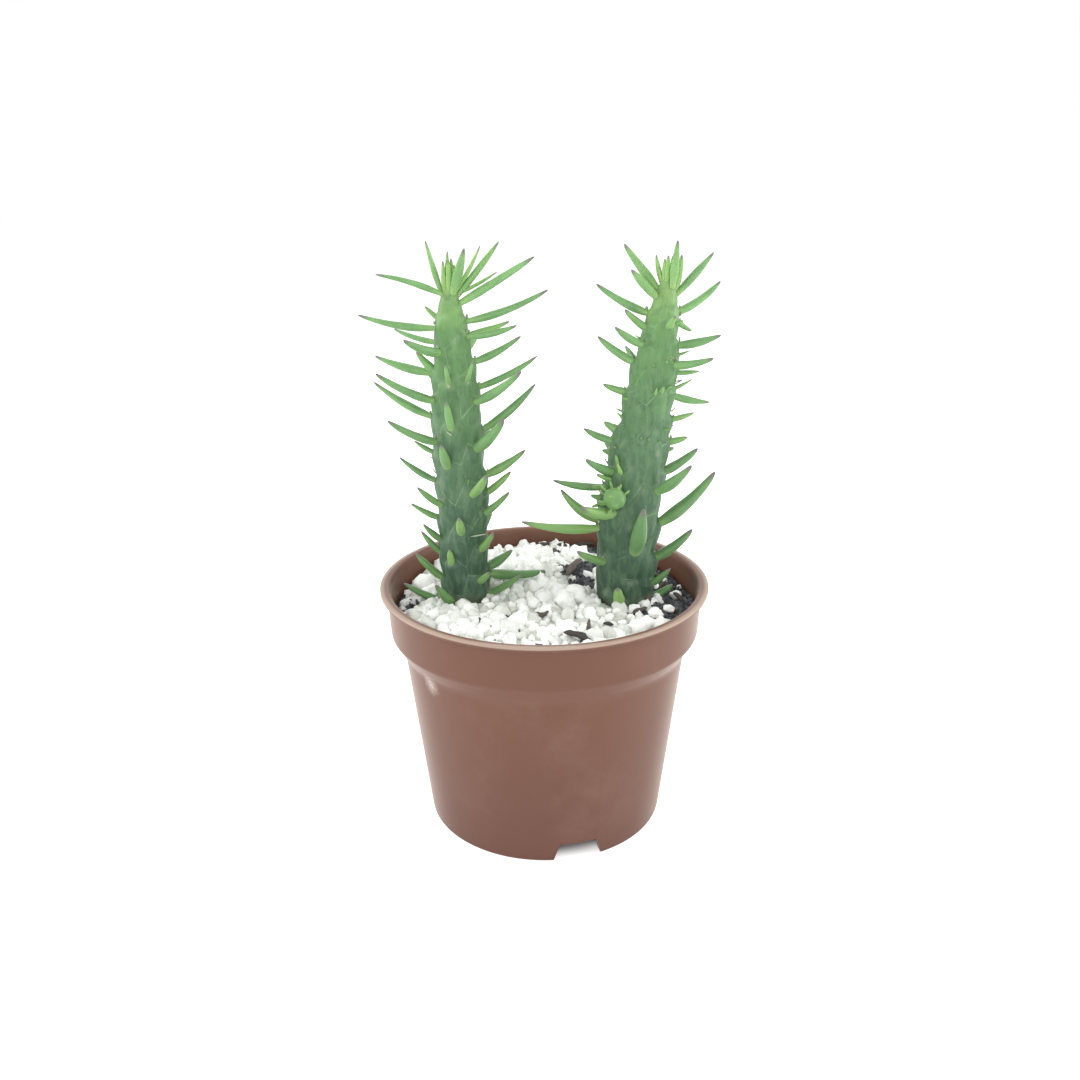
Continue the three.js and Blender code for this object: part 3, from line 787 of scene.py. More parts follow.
@dataclass
class NurseryPot:
    """A thin moulded pot: foot ring with drain notches, tapered wall, step, collar and flat lip."""

    finishes: Finishes
    foot_radius: float = 31.3
    ring_width: float = 2.6
    floor_height: float = 5.8
    floor_thickness: float = 1.3
    wall: float = 1.0
    collar_height: float = 12.3
    collar_step: float = 3.2
    collar_taper: float = 0.6
    step_drop: float = 4.7
    lip_height: float = 1.2
    lip_overhang: float = 1.7
    lip_wear: float = 0.75
    notch_turns: tuple[float, ...] = (-75.0, 45.0, 165.0)
    notch_width: float = 11.5
    notch_height: float = 5.3
    notch_flare: float = 1.8
    slot_width: float = 3.6
    slot_length: float = 11.0
    slot_inset: float = 3.0
    cut_margin: float = 2.0
    sharp_angle: float = 38.0
    segments: int = 192

    def profile(self) -> list[tuple[float, float]]:
        """Draws the wall's section, from the middle of the underside round to the middle of the floor.

        Returns:
            The radius and height of each point.
        """
        low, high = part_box("pot")
        rim = (high[0] - low[0]) / 2.0 / MM
        top = high[2] / MM
        collar_top = rim - self.lip_overhang
        collar = collar_top - self.collar_taper
        shoulder = collar - self.collar_step
        collar_foot = top - self.collar_height
        shoulder_at = collar_foot - self.step_drop
        under = top - self.lip_height
        ring_inside = self.foot_radius - self.ring_width
        floor_top = self.floor_height + self.floor_thickness
        slope = (shoulder - self.foot_radius) / shoulder_at
        inner_floor = self.foot_radius + slope * floor_top - self.wall
        return rounded(
            [
                (0.0, self.floor_height, 0.0),
                (ring_inside, self.floor_height, 0.4),
                (ring_inside, 0.0, 0.3),
                (self.foot_radius, 0.0, 0.9),
                (shoulder, shoulder_at, 1.6),
                (collar, collar_foot, 0.7),
                (collar_top, under, 0.35),
                (rim, under, 0.4),
                (rim, top, 0.45),
                (collar_top - self.wall, top, 1.5),
                (collar - self.wall, collar_foot, 0.7),
                (shoulder - self.wall, shoulder_at, 1.6),
                (inner_floor, floor_top, 1.0),
                (0.0, floor_top, 0.0),
            ]
        )

    def cutters(self) -> tuple[np.ndarray, list]:
        """Makes the notches and the drain slots, as one set of closed blocks.

        Returns:
            The corners and the faces.
        """
        parts = []
        ring_inside = self.foot_radius - self.ring_width
        half, flare = self.notch_width / 2.0, self.notch_flare / 2.0
        slot_far = ring_inside - self.slot_inset
        for turn in self.notch_turns:
            notch = self.block(
                (ring_inside - self.cut_margin, self.foot_radius + self.cut_margin),
                (half + flare, half - flare),
                (-1.0, self.notch_height),
            )
            slot = self.block(
                (slot_far - self.slot_length, slot_far),
                (self.slot_width / 2.0, self.slot_width / 2.0),
                (1.0, self.floor_height + 3.0 * self.floor_thickness),
            )
            spin = np.array(Matrix.Rotation(math.radians(turn), 3, "Z"))
            for points, faces in (notch, slot):
                parts.append((points @ spin.T, faces, {}))
        points, faces, _ = join_meshes(parts)
        return points, faces

    def block(self, reach: tuple, halves: tuple, heights: tuple) -> tuple[np.ndarray, list]:
        """Makes a block that widens or narrows upwards.

        Args:
            reach: Its least and greatest radius.
            halves: Its half width at the foot and at the top.
            heights: The heights of its foot and its top.

        Returns:
            The corners and the faces.
        """
        points = [
            (x, side * half, z)
            for z, half in zip(heights, halves)
            for x, side in ((reach[0], -1), (reach[1], -1), (reach[1], 1), (reach[0], 1))
        ]
        faces = [(0, 3, 2, 1), (4, 5, 6, 7), (0, 1, 5, 4), (1, 2, 6, 5), (2, 3, 7, 6), (3, 0, 4, 7)]
        return np.array(points), faces

    def build(self) -> None:
        """Makes the pot."""
        profile = self.profile()
        turns = full_turn(self.segments)
        rings = np.array([[(r * math.cos(a), r * math.sin(a), z) for a in turns] for r, z in profile[1:-1]])
        poles = [np.array((0.0, 0.0, profile[k][1])) for k in (0, -1)]
        points, faces = loft(rings, *poles)
        pot = mesh_piece("pot_shell", points, faces, self.finishes.pot)
        cutter = mesh_piece("drain_cutters", *self.cutters(), self.finishes.pot)
        cut = pot.modifiers.new("drains", "BOOLEAN")
        cut.operation = "DIFFERENCE"
        cut.solver = "EXACT"
        cut.object = cutter
        bake_modifiers(pot)
        bpy.data.objects.remove(cutter)
        pot.data.set_sharp_from_angle(angle=math.radians(self.sharp_angle))
        self.mark_edges(pot)
        settle(pot, "pot_plastic", "pot")

    def mark_edges(self, pot: bpy.types.Object) -> None:
        """Stores which corners of the mesh lie on the lip's worn top.

        Args:
            pot: The finished pot.
        """
        layer = pot.data.attributes.new("edge", "FLOAT", "POINT")
        spots = np.array([tuple(v.co) for v in pot.data.vertices]) / MM
        radii = np.hypot(spots[:, 0], spots[:, 1])
        worn = (spots[:, 2] > spots[:, 2].max() - 0.5) & (radii > radii.max() - self.lip_wear)
        layer.data.foreach_set("value", worn.astype(np.float32))


def bake_modifiers(piece: bpy.types.Object) -> None:
    """Turns a piece with modifiers into a plain mesh.

    Args:
        piece: The piece.
    """
    graph = bpy.context.evaluated_depsgraph_get()
    graph.update()
    mesh = bpy.data.meshes.new_from_object(piece.evaluated_get(graph))
    mesh.name = piece.name
    piece.modifiers.clear()
    piece.data = mesh


# ------------------------------------------------------------------------------------- soil and dressing


@dataclass
class Ground:
    """The heights of the packed soil and of its dressing."""

    stem_reach: float = 32.0
    above: float = 200.0
    trees: dict = field(default_factory=dict)

    def __post_init__(self) -> None:
        """Reads both nodes."""
        for node in ("soil", "perlite"):
            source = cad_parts[node]
            corners = [source.matrix_world @ v.co / MM for v in source.data.vertices]
            faces = [tuple(p.vertices) for p in source.data.polygons]
            self.trees[node] = BVHTree.FromPolygons(corners, faces)

    def plumb(self, node: str, x: float, y: float) -> Vector | None:
        """Where a line from straight above meets a node, or None."""
        return self.trees[node].ray_cast(Vector((x, y, self.above)), Vector((0.0, 0.0, -1.0)))[0]

    def height(self, node: str, x: float, y: float) -> float:
        """Measures the top of a node at a place, or the nearest part of it where it has none.

        Args:
            node: The node's name.
            x: The place's x.
            y: The place's y.

        Returns:
            The height.
        """
        hit = self.plumb(node, x, y)
        if hit is None:
            hit = self.trees[node].find_nearest(Vector((x, y, PLANTING_LEVEL + 1.0)))[0]
        return hit.z

    def under_stem(self, x: float, y: float) -> bool:
        """Whether a place lies in a stem's socket, where the dressing has no top."""
        return self.plumb("perlite", x, y) is None and math.hypot(x, y) < self.stem_reach

    def top(self, x: float, y: float) -> float:
        """The top of whichever lies higher."""
        return max(self.height("soil", x, y), self.height("perlite", x, y))


def make_scatter_group() -> bpy.types.NodeTree:
    """Strews grains over a bed: each of one of several lumpy shapes, turned and sized by chance.

    Returns:
        The group.
    """
    group = bpy.data.node_groups.new("strewn_grains", "GeometryNodeTree")
    face = group.interface
    face.new_socket("Geometry", in_out="INPUT", socket_type="NodeSocketGeometry")
    for name, kind, default in (
        ("Spacing", "Float", 0.002),
        ("Density", "Float", 400000.0),
        ("Small", "Vector", (1.0, 1.0, 1.0)),
        ("Large", "Vector", (1.0, 1.0, 1.0)),
        ("Radius", "Float", 0.001),
        ("Spread", "Float", 1.6),
        ("Sink", "Float", 0.0),
        ("Seed", "Int", 1),
        ("Finish", "Material", None),
    ):
        socket = face.new_socket(name, in_out="INPUT", socket_type="NodeSocket" + kind)
        if default is not None:
            socket.default_value = default
    face.new_socket("Geometry", in_out="OUTPUT", socket_type="NodeSocketGeometry")
    build = TreeBuilder(group)
    given = build.add("NodeGroupInput").outputs
    cover = build.add("GeometryNodeInputNamedAttribute", {"Name": "cover"}, data_type="FLOAT")
    strewn = build.add(
        "GeometryNodeDistributePointsOnFaces",
        {
            "Mesh": given["Geometry"],
            "Distance Min": given["Spacing"],
            "Density Max": given["Density"],
            "Density Factor": cover.outputs["Attribute"],
            "Seed": given["Seed"],
        },
        distribute_method="POISSON",
    )
    drop = build.add("ShaderNodeCombineXYZ", {2: build.math("MULTIPLY", given["Sink"], -1.0)})
    sunk = build.add("GeometryNodeSetPosition", {"Geometry": strewn.outputs[0], "Offset": drop.outputs[0]})
    shapes = build.add("GeometryNodeJoinGeometry")
    for variant in range(GRAIN_SHAPES):
        build.wire(shapes, {0: make_lump(build, float(variant))})
    seed = given["Seed"]
    size = build.chance("FLOAT", 0.0, 1.0, build.math("ADD", seed, 1.0))
    spread = build.math("MULTIPLY", build.math("POWER", size, 2.5), given["Spread"])
    stretch = build.chance("FLOAT_VECTOR", given["Small"], given["Large"], build.math("ADD", seed, 2.0))
    grown = build.scaled(stretch, build.math("MULTIPLY", given["Radius"], build.math("ADD", 1.0, spread)))
    whole = (6.283, 6.283, 6.283)
    turn = build.chance("FLOAT_VECTOR", (0.0, 0.0, 0.0), whole, build.math("ADD", seed, 3.0))
    pick = build.chance("INT", 0, GRAIN_SHAPES - 1, build.math("ADD", seed, 4.0))
    placed = build.add(
        "GeometryNodeInstanceOnPoints",
        {
            "Points": sunk.outputs[0],
            "Instance": shapes.outputs[0],
            "Pick Instance": True,
            "Instance Index": pick,
            "Rotation": turn,
            "Scale": grown,
        },
    )
    tone = build.chance("FLOAT", 0.0, 1.0, build.math("ADD", seed, 5.0))
    toned = build.add(
        "GeometryNodeStoreNamedAttribute",
        {"Geometry": placed.outputs[0], "Name": "tone", "Value": tone},
        data_type="FLOAT",
        domain="INSTANCE",
    )
    both = build.add("GeometryNodeJoinGeometry")
    build.wire(both, {0: toned.outputs[0]})
    build.wire(both, {0: given["Geometry"]})
    real = build.add("GeometryNodeRealizeInstances", {"Geometry": both.outputs[0]})
    skinned = {"Geometry": real.outputs[0], "Material": given["Finish"]}
    build.add("NodeGroupOutput", {0: build.add("GeometryNodeSetMaterial", skinned).outputs[0]})
    return group


def make_lump(build: TreeBuilder, seed: float) -> bpy.types.NodeSocket:
    """One lumpy grain of unit radius, as an instance.

    Args:
        build: The tree's builder.
        seed: Which of the shapes it is.

    Returns:
        The instance's socket.
    """
    sizes = {"Size": (2.0, 2.0, 2.0), "Vertices X": 4, "Vertices Y": 4, "Vertices Z": 4}
    cube = build.add("GeometryNodeMeshCube", sizes)
    where = build.add("GeometryNodeInputPosition").outputs[0]
    ball = build.vector_math("NORMALIZE", where, (0.0, 0.0, 0.0))
    shifted = build.vector_math("ADD", ball, (7.3 * seed, -3.1 * seed, 5.7 * seed))
    bumps = build.math("SUBTRACT", build.noise(shifted, 1.7, 2.0), 0.5)
    reach = build.math("ADD", 1.0, build.math("MULTIPLY", bumps, 1.9))
    moved = build.scaled(ball, reach)
    shaped = build.add("GeometryNodeSetPosition", {"Geometry": cube.outputs["Mesh"], "Position": moved})
    smooth = build.add("GeometryNodeSetShadeSmooth", {"Geometry": shaped.outputs[0]})
    return build.add("GeometryNodeGeometryToInstance", {"Geometry": smooth.outputs[0]}).outputs[0]


@dataclass(frozen=True)
class Strewing:
    """How grains are strewn over a bed, in millimetres."""

    spacing: float
    radius: float
    spread: float
    shape: GrainShape
    sink: float
    seed: int

    def apply(self, bed: bpy.types.Object, finish: bpy.types.Material) -> None:
        """Strews grains over a bed where its cover attribute allows, and makes the whole a plain mesh.

        Args:
            bed: The bed's mesh object.
            finish: The grains' material.
        """
        group = bpy.data.node_groups["strewn_grains"]
        modifier = bed.modifiers.new("grains", "NODES")
        modifier.node_group = group
        values = {
            "Spacing": self.spacing * MM,
            "Density": 3.0 / (self.spacing * MM) ** 2,
            "Small": self.shape.value[0],
            "Large": self.shape.value[1],
            "Radius": self.radius * MM,
            "Spread": self.spread,
            "Sink": self.sink * MM,
            "Seed": self.seed,
            "Finish": finish,
        }
        for item in group.interface.items_tree:
            if item.in_out == "INPUT" and item.name in values:
                modifier[item.identifier] = values[item.name]
        reach = max(math.hypot(v.co.x, v.co.y) for v in bed.data.vertices)
        bake_modifiers(bed)
        for vertex in bed.data.vertices:
            radius = math.hypot(vertex.co.x, vertex.co.y)
            if radius > reach:
                vertex.co.x *= reach / radius
                vertex.co.y *= reach / radius


@dataclass
class Bed:
    """A filling of the pot with an uneven top, from the middle out to the wall."""

    ground: Ground
    node: str
    rings: int = 64
    sides: int = 150
    floor: float = 53.2
    thickness: float = 3.0
    lumps: tuple[float, float] = (2.2, 0.9)

    def surface(self, lower: float, relief: float, seed: float) -> tuple[np.ndarray, list]:
        """The bed's closed skin.

        Args:
            lower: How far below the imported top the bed's own top lies.
            relief: The height of its unevenness.
            seed: Which unevenness.

        Returns:
            The corners and the faces.
        """
        low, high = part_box(self.node)
        edge = (high[0] - low[0]) / 2.0 / MM
        turns = full_turn(self.sides)
        rings = []
        for r in range(1, self.rings + 1):
            radius = edge * r / self.rings
            ring = [(radius * math.cos(a), radius * math.sin(a)) for a in turns]
            heights = [self.ground.height(self.node, x * 0.995, y * 0.995) for x, y in ring]
            rings.append([(x, y, z) for (x, y), z in zip(ring, heights)])
        rings = np.array(rings)
        flat = rings.reshape(-1, 3)
        bumps = noise_at(flat, self.lumps[0], seed) + 0.6 * noise_at(flat, self.lumps[1], seed + 4.0)
        flat[:, 2] += relief * bumps - lower
        below = rings[::-4].copy()
        below[:, :, 2] = np.maximum(below[:, :, 2] - self.thickness, self.floor)
        rings = np.concatenate([rings, below])
        top = np.array((0.0, 0.0, flat[: self.sides, 2].mean()))
        return loft(rings, top, np.array((0.0, 0.0, below[-1, :, 2].mean())))


@dataclass
class Planting:
    """The peat, the perlite strewn over it, and the loose bark that shows between the grains."""

    finishes: Finishes
    ground: Ground
    thin: float = 0.25
    side_gap: float = 0.4
    top_depth: float = 5.0
    socket_depth: float = 8.0
    bare_depth: float = 1.1
    hidden_depth: float = 1.9
    # Where bare peat shows: x, y and reach of each pocket.
    pockets: tuple[tuple[float, float, float], ...] = (
        (10.8, 8.0, 4.2),
        (8.4, 15.5, 4.0),
        (12.5, 20.5, 3.4),
        (3.2, 31.0, 1.8),
        (13.0, 34.5, 3.2),
        (7.5, 36.5, 2.4),
        (-38.8, 5.6, 1.6),
        (-34.5, 0.2, 1.5),
        (-32.4, -0.6, 1.4),
        (36.0, -4.0, 5.5),
        (32.5, -9.0, 5.6),
        (34.0, 4.0, 7.0),
        (30.0, -15.5, 3.0),
        (23.0, -19.0, 2.0),
        (26.8, -25.0, 2.0),
        (9.4, -30.5, 1.6),
        (-1.0, -15.0, 1.4),
        (25.4, -11.2, 2.6),
        (20.9, -12.6, 1.3),
        (2.0, -37.0, 1.2),
        (-14.0, -34.0, 1.1),
        (-6.5, -24.0, 1.0),
        (15.0, -23.0, 1.1),
        (-9.0, -12.0, 1.1),
        (17.5, -32.0, 1.1),
        (-33.5, -12.0, 1.2),
    )
    # Bark chips: x, y, height above the ground, length, width, thickness, turn and tilt.
    bark: tuple[tuple[float, ...], ...] = (
        (8.2, 14.0, 0.5, 11.0, 2.2, 0.9, 68.0, 6.0),
        (-0.8, -15.0, 0.9, 3.6, 2.4, 1.2, -12.0, 14.0),
        (7.5, -31.2, 0.9, 6.4, 2.7, 1.1, -20.0, -10.0),
        (10.4, -25.6, 0.8, 7.5, 1.0, 0.8, 84.0, 12.0),
        (-2.0, -36.0, 0.6, 4.6, 1.8, 0.8, -35.0, 8.0),
        (-14.6, -20.4, 0.7, 9.5, 0.7, 0.6, -68.0, 10.0),
        (26.8, -4.0, 2.0, 9.0, 1.8, 1.1, 80.0, 58.0),
        (0.4, 37.0, 0.4, 3.2, 1.6, 0.9, 10.0, 5.0),
        (12.0, 35.5, 0.4, 6.5, 1.7, 0.9, -8.0, 6.0),
        (31.0, 9.0, 0.6, 5.0, 1.8, 1.0, 30.0, 15.0),
        (35.0, -2.0, 0.4, 4.4, 1.5, 0.8, 110.0, 8.0),
        (33.0, -11.0, 0.4, 3.8, 1.6, 0.9, 50.0, -12.0),
        (29.5, 15.0, 0.4, 5.6, 1.4, 0.8, -20.0, 10.0),
        (-36.4, 3.0, 0.3, 4.2, 1.5, 0.8, -30.0, 4.0),
        (24.0, -12.5, 0.5, 4.2, 1.6, 0.8, 24.0, 8.0),
        (-13.0, -33.6, 0.6, 3.2, 1.6, 0.9, 15.0, 8.0),
        (15.4, -22.6, 0.7, 3.6, 1.5, 0.8, -60.0, 10.0),
        (2.4, 26.0, 0.6, 4.6, 1.8, 0.9, 70.0, 8.0),
        (5.6, 33.0, 0.6, 4.2, 1.7, 0.9, -40.0, 6.0),
    )
    # Single lumps of perlite: x, y, height above the ground and radius.
    lumps: tuple[tuple[float, ...], ...] = (
        (8.4, -3.2, 1.6, 3.1),
        (5.0, -6.4, 1.2, 2.5),
        (-32.0, 9.0, 1.0, 2.9),
        (-30.0, 3.4, 0.9, 2.6),
        (34.6, 0.4, 0.5, 1.5),
        (29.6, -1.6, 0.4, 1.2),
        (31.3, -12.2, 0.6, 1.3),
        (27.8, -14.9, 0.5, 1.9),
        (24.8, -22.4, 0.5, 2.2),
        (33.2, 12.5, 0.2, 0.8),
        (36.6, 9.0, 0.1, 0.7),
        (28.9, -3.4, 3.6, 0.75),
    )

    def bare(self, x: float, y: float) -> bool:
        """Whether the peat shows at a place."""
        hidden = self.ground.height("perlite", x, y) < self.ground.height("soil", x, y) + self.thin
        return hidden or any(math.hypot(x - px, y - py) < reach for px, py, reach in self.pockets)

    def build(self) -> None:
        """Makes the peat, the perlite and the bark."""
        make_scatter_group()
        self.build_peat()
        self.build_perlite()
        self.build_bark()

    def cover(self, points: np.ndarray, on_bare: float, on_dressed: float) -> np.ndarray:
        """Says how thickly grains lie at each corner of a bed: nothing on its sides and underside.

        Args:
            points: The corners.
            on_bare: The cover where the peat shows.
            on_dressed: The cover elsewhere.

        Returns:
            A share for each corner.
        """
        cover = np.zeros(len(points))
        edge = np.hypot(points[:, 0], points[:, 1]).max() - self.side_gap
        for i, (x, y, z) in enumerate(points):
            on_top = z > PLANTING_LEVEL - self.top_depth and math.hypot(x, y) < edge
            if on_top and not self.ground.under_stem(x, y):
                cover[i] = on_bare if self.bare(x, y) else on_dressed
        return cover

    def build_peat(self) -> None:
        """Makes the dark peat with its crumbs."""
        bed = Bed(self.ground, "soil")
        points, faces = bed.surface(lower=0.3, relief=0.45, seed=3.0)
        for i, (x, y, z) in enumerate(points):
            if z > PLANTING_LEVEL - self.top_depth and self.bare(x, y):
                points[i][2] = max(z, self.ground.top(x, y) - self.bare_depth)
        attributes = {"cover": self.cover(points, 1.0, 0.02), "tone": np.full(len(points), 0.7)}
        peat = mesh_piece("peat_bed", points, faces, self.finishes.peat, attributes)
        crumbs = Strewing(spacing=0.85, radius=0.62, spread=1.2, shape=GrainShape.CRUMB, sink=0.0, seed=11)
        crumbs.apply(peat, self.finishes.peat)
        settle(peat, "peat", "soil")

    def build_perlite(self) -> None:
        """Makes the white grains with the bed that they lie on."""
        bed = Bed(self.ground, "perlite")
        points, faces = bed.surface(lower=0.9, relief=0.5, seed=8.0)
        for i, (x, y, z) in enumerate(points):
            off = self.bare(x, y) or self.ground.under_stem(x, y)
            if z > PLANTING_LEVEL - self.socket_depth and off:
                points[i][2] = min(z, self.ground.top(x, y) - self.hidden_depth)
        # The bed under the grains takes the darkest tone: painted shade in the gaps between them.
        attributes = {"cover": self.cover(points, 0.0, 1.0), "tone": np.full(len(points), 1.0)}
        perlite = mesh_piece("perlite_dressing", points, faces, self.finishes.perlite, attributes)
        grains = Strewing(spacing=2.35, radius=1.5, spread=1.1, shape=GrainShape.LUMP, sink=0.1, seed=5)
        grains.apply(perlite, self.finishes.perlite)
        self.add_lumps(perlite)
        settle(perlite, "perlite", "perlite")

    def add_lumps(self, perlite: bpy.types.Object) -> None:
        """Adds the few large lumps and the lone grains on bare peat.

        Args:
            perlite: The strewn dressing.
        """
        work = bmesh.new()
        work.from_mesh(perlite.data)
        tone = work.verts.layers.float.get("tone")
        for k, (x, y, up, radius) in enumerate(self.lumps):
            at = Vector((x, y, self.ground.top(x, y) + up))
            made = bmesh.ops.create_icosphere(work, subdivisions=3, radius=1.0)["verts"]
            stretch = Vector((1.0, 0.8 + 0.3 * ((k * 7) % 5) / 4.0, 0.75 + 0.1 * (k % 3)))
            for vertex in made:
                way = vertex.co.normalized()
                lump = 1.0 + 0.42 * noise.noise(way * 1.3 + Vector((k * 3.1, 0.0, k)))
                lump += 0.12 * noise.noise(way * 4.0 + Vector((0.0, k * 2.7, 0.0)))
                vertex.co = (at + way * stretch * radius * lump) * MM
                vertex[tone] = 0.2
            for face in {f for v in made for f in v.link_faces}:
                face.smooth = True
        work.to_mesh(perlite.data)
        work.free()

    def build_bark(self) -> None:
        """Makes the loose bark chips and the sticks."""
        parts = []
        for k, (x, y, up, length, width, thickness, turn, tilt) in enumerate(self.bark):
            rings = []
            for e in np.linspace(-0.5, 0.5, 12):
                taper = (1.0 - (2.0 * abs(e)) ** 3) ** 0.5 if abs(e) < 0.5 else 0.25
                curl = 0.12 * length * (4.0 * e * e - 1.0) * (1 if k % 2 else -0.4)
                wide, high = taper * width / 2, taper * thickness / 2
                ring = [(e * length, wide * math.cos(a), high * math.sin(a) + curl) for a in full_turn(10)]
                rings.append(ring)
            points, faces = loft(np.array(rings), np.mean(rings[0], axis=0), np.mean(rings[-1], axis=0))
            points += 0.28 * thickness * noise_at(points, 1.3, k + 0.5)[:, None]
            spin = Matrix.Rotation(math.radians(turn), 3, "Z") @ Matrix.Rotation(math.radians(-tilt), 3, "Y")
            points = points @ np.array(spin).T + np.array((x, y, self.ground.top(x, y) + up))
            parts.append((points, faces, {"tone": np.full(len(points), (k * 0.37) % 1.0)}))
        settle_parts("bark_chips", parts, self.finishes.bark, "peat")


# ------------------------------------------------------------------------------------- stems and leaves


@dataclass
class StemAxis:
    """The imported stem's centre and radius at every height."""

    node: str
    narrowing: float = 0.13
    narrow_from: float = 22.0
    dome: float = 8.0
    heights: np.ndarray = field(init=False)
    centres: np.ndarray = field(init=False)
    radii: np.ndarray = field(init=False)

    def __post_init__(self) -> None:
        """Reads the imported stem's rings."""
        points = node_points(self.node)
        levels = np.unique(np.round(points[:, 2], 1))
        rings = [points[np.abs(points[:, 2] - level) < 0.06] for level in levels]
        rings = [ring for ring in rings if len(ring) > 5]
        self.heights = np.array([ring[:, 2].mean() for ring in rings])
        self.centres = np.array([ring[:, :2].mean(axis=0) for ring in rings])
        spans = [np.linalg.norm(ring[:, :2] - c, axis=1).mean() for ring, c in zip(rings, self.centres)]
        tip = points[points[:, 2].argmax()]
        self.heights = np.append(self.heights, tip[2])
        self.centres = np.vstack([self.centres, tip[:2]])
        self.radii = np.append(spans, 0.0)

    def centre(self, height: np.ndarray) -> np.ndarray:
        """The axis's point at each height."""
        level = [np.interp(height, self.heights, self.centres[:, k]) for k in range(2)]
        return np.stack([*level, height], axis=-1)

    def radius(self, height: np.ndarray) -> np.ndarray:
        """Measures the smooth skin, narrowed below the crown and domed at the tip.

        Args:
            height: One height or many.

        Returns:
            The radius at each.
        """
        tip = self.heights[-1]
        plain = np.interp(height, self.heights[:-1], self.radii[:-1])
        near_tip = smoothstep(tip - self.narrow_from, tip - self.dome, height)
        narrowed = plain * (1.0 - self.narrowing * near_tip)
        dome = np.clip((tip - height) / self.dome, 0.0, 1.0)
        return narrowed * np.sqrt(1.0 - (1.0 - dome) ** 3)

    def skin(self, height: float, out: np.ndarray, lift: float) -> np.ndarray:
        """The point a lift above the skin at a height, on the side that out points to."""
        return self.centre(height) + out * (self.radius(height) + lift)


def around(turn: float) -> np.ndarray:
    """The level direction at a turn in degrees from +X."""
    angle = math.radians(turn)
    return np.array((math.cos(angle), math.sin(angle), 0.0))


def leaf_profile(share: np.ndarray, foot: float, belly: float) -> np.ndarray:
    """Shapes a leaf's half width along its length: a broad foot, a belly and a long point.

    Args:
        share: The shares of the length.
        foot: The half width at the foot, as a share of the belly's.
        belly: Where the belly is, as a share of the length.

    Returns:
        The half width at each share, as a share of the belly's.
    """
    swell = np.sin(np.clip(share / belly, 0.0, 1.0) * math.pi / 2.0)
    outer = np.clip((share - belly) / (1.0 - belly), 0.0, 1.0)
    inner_part = foot + (1.0 - foot) * swell
    outer_part = np.sqrt(np.clip(1.0 - outer**2.2, 0.0, 1.0)) * (1.0 - 0.22 * outer)
    return np.where(share < belly, inner_part, outer_part)


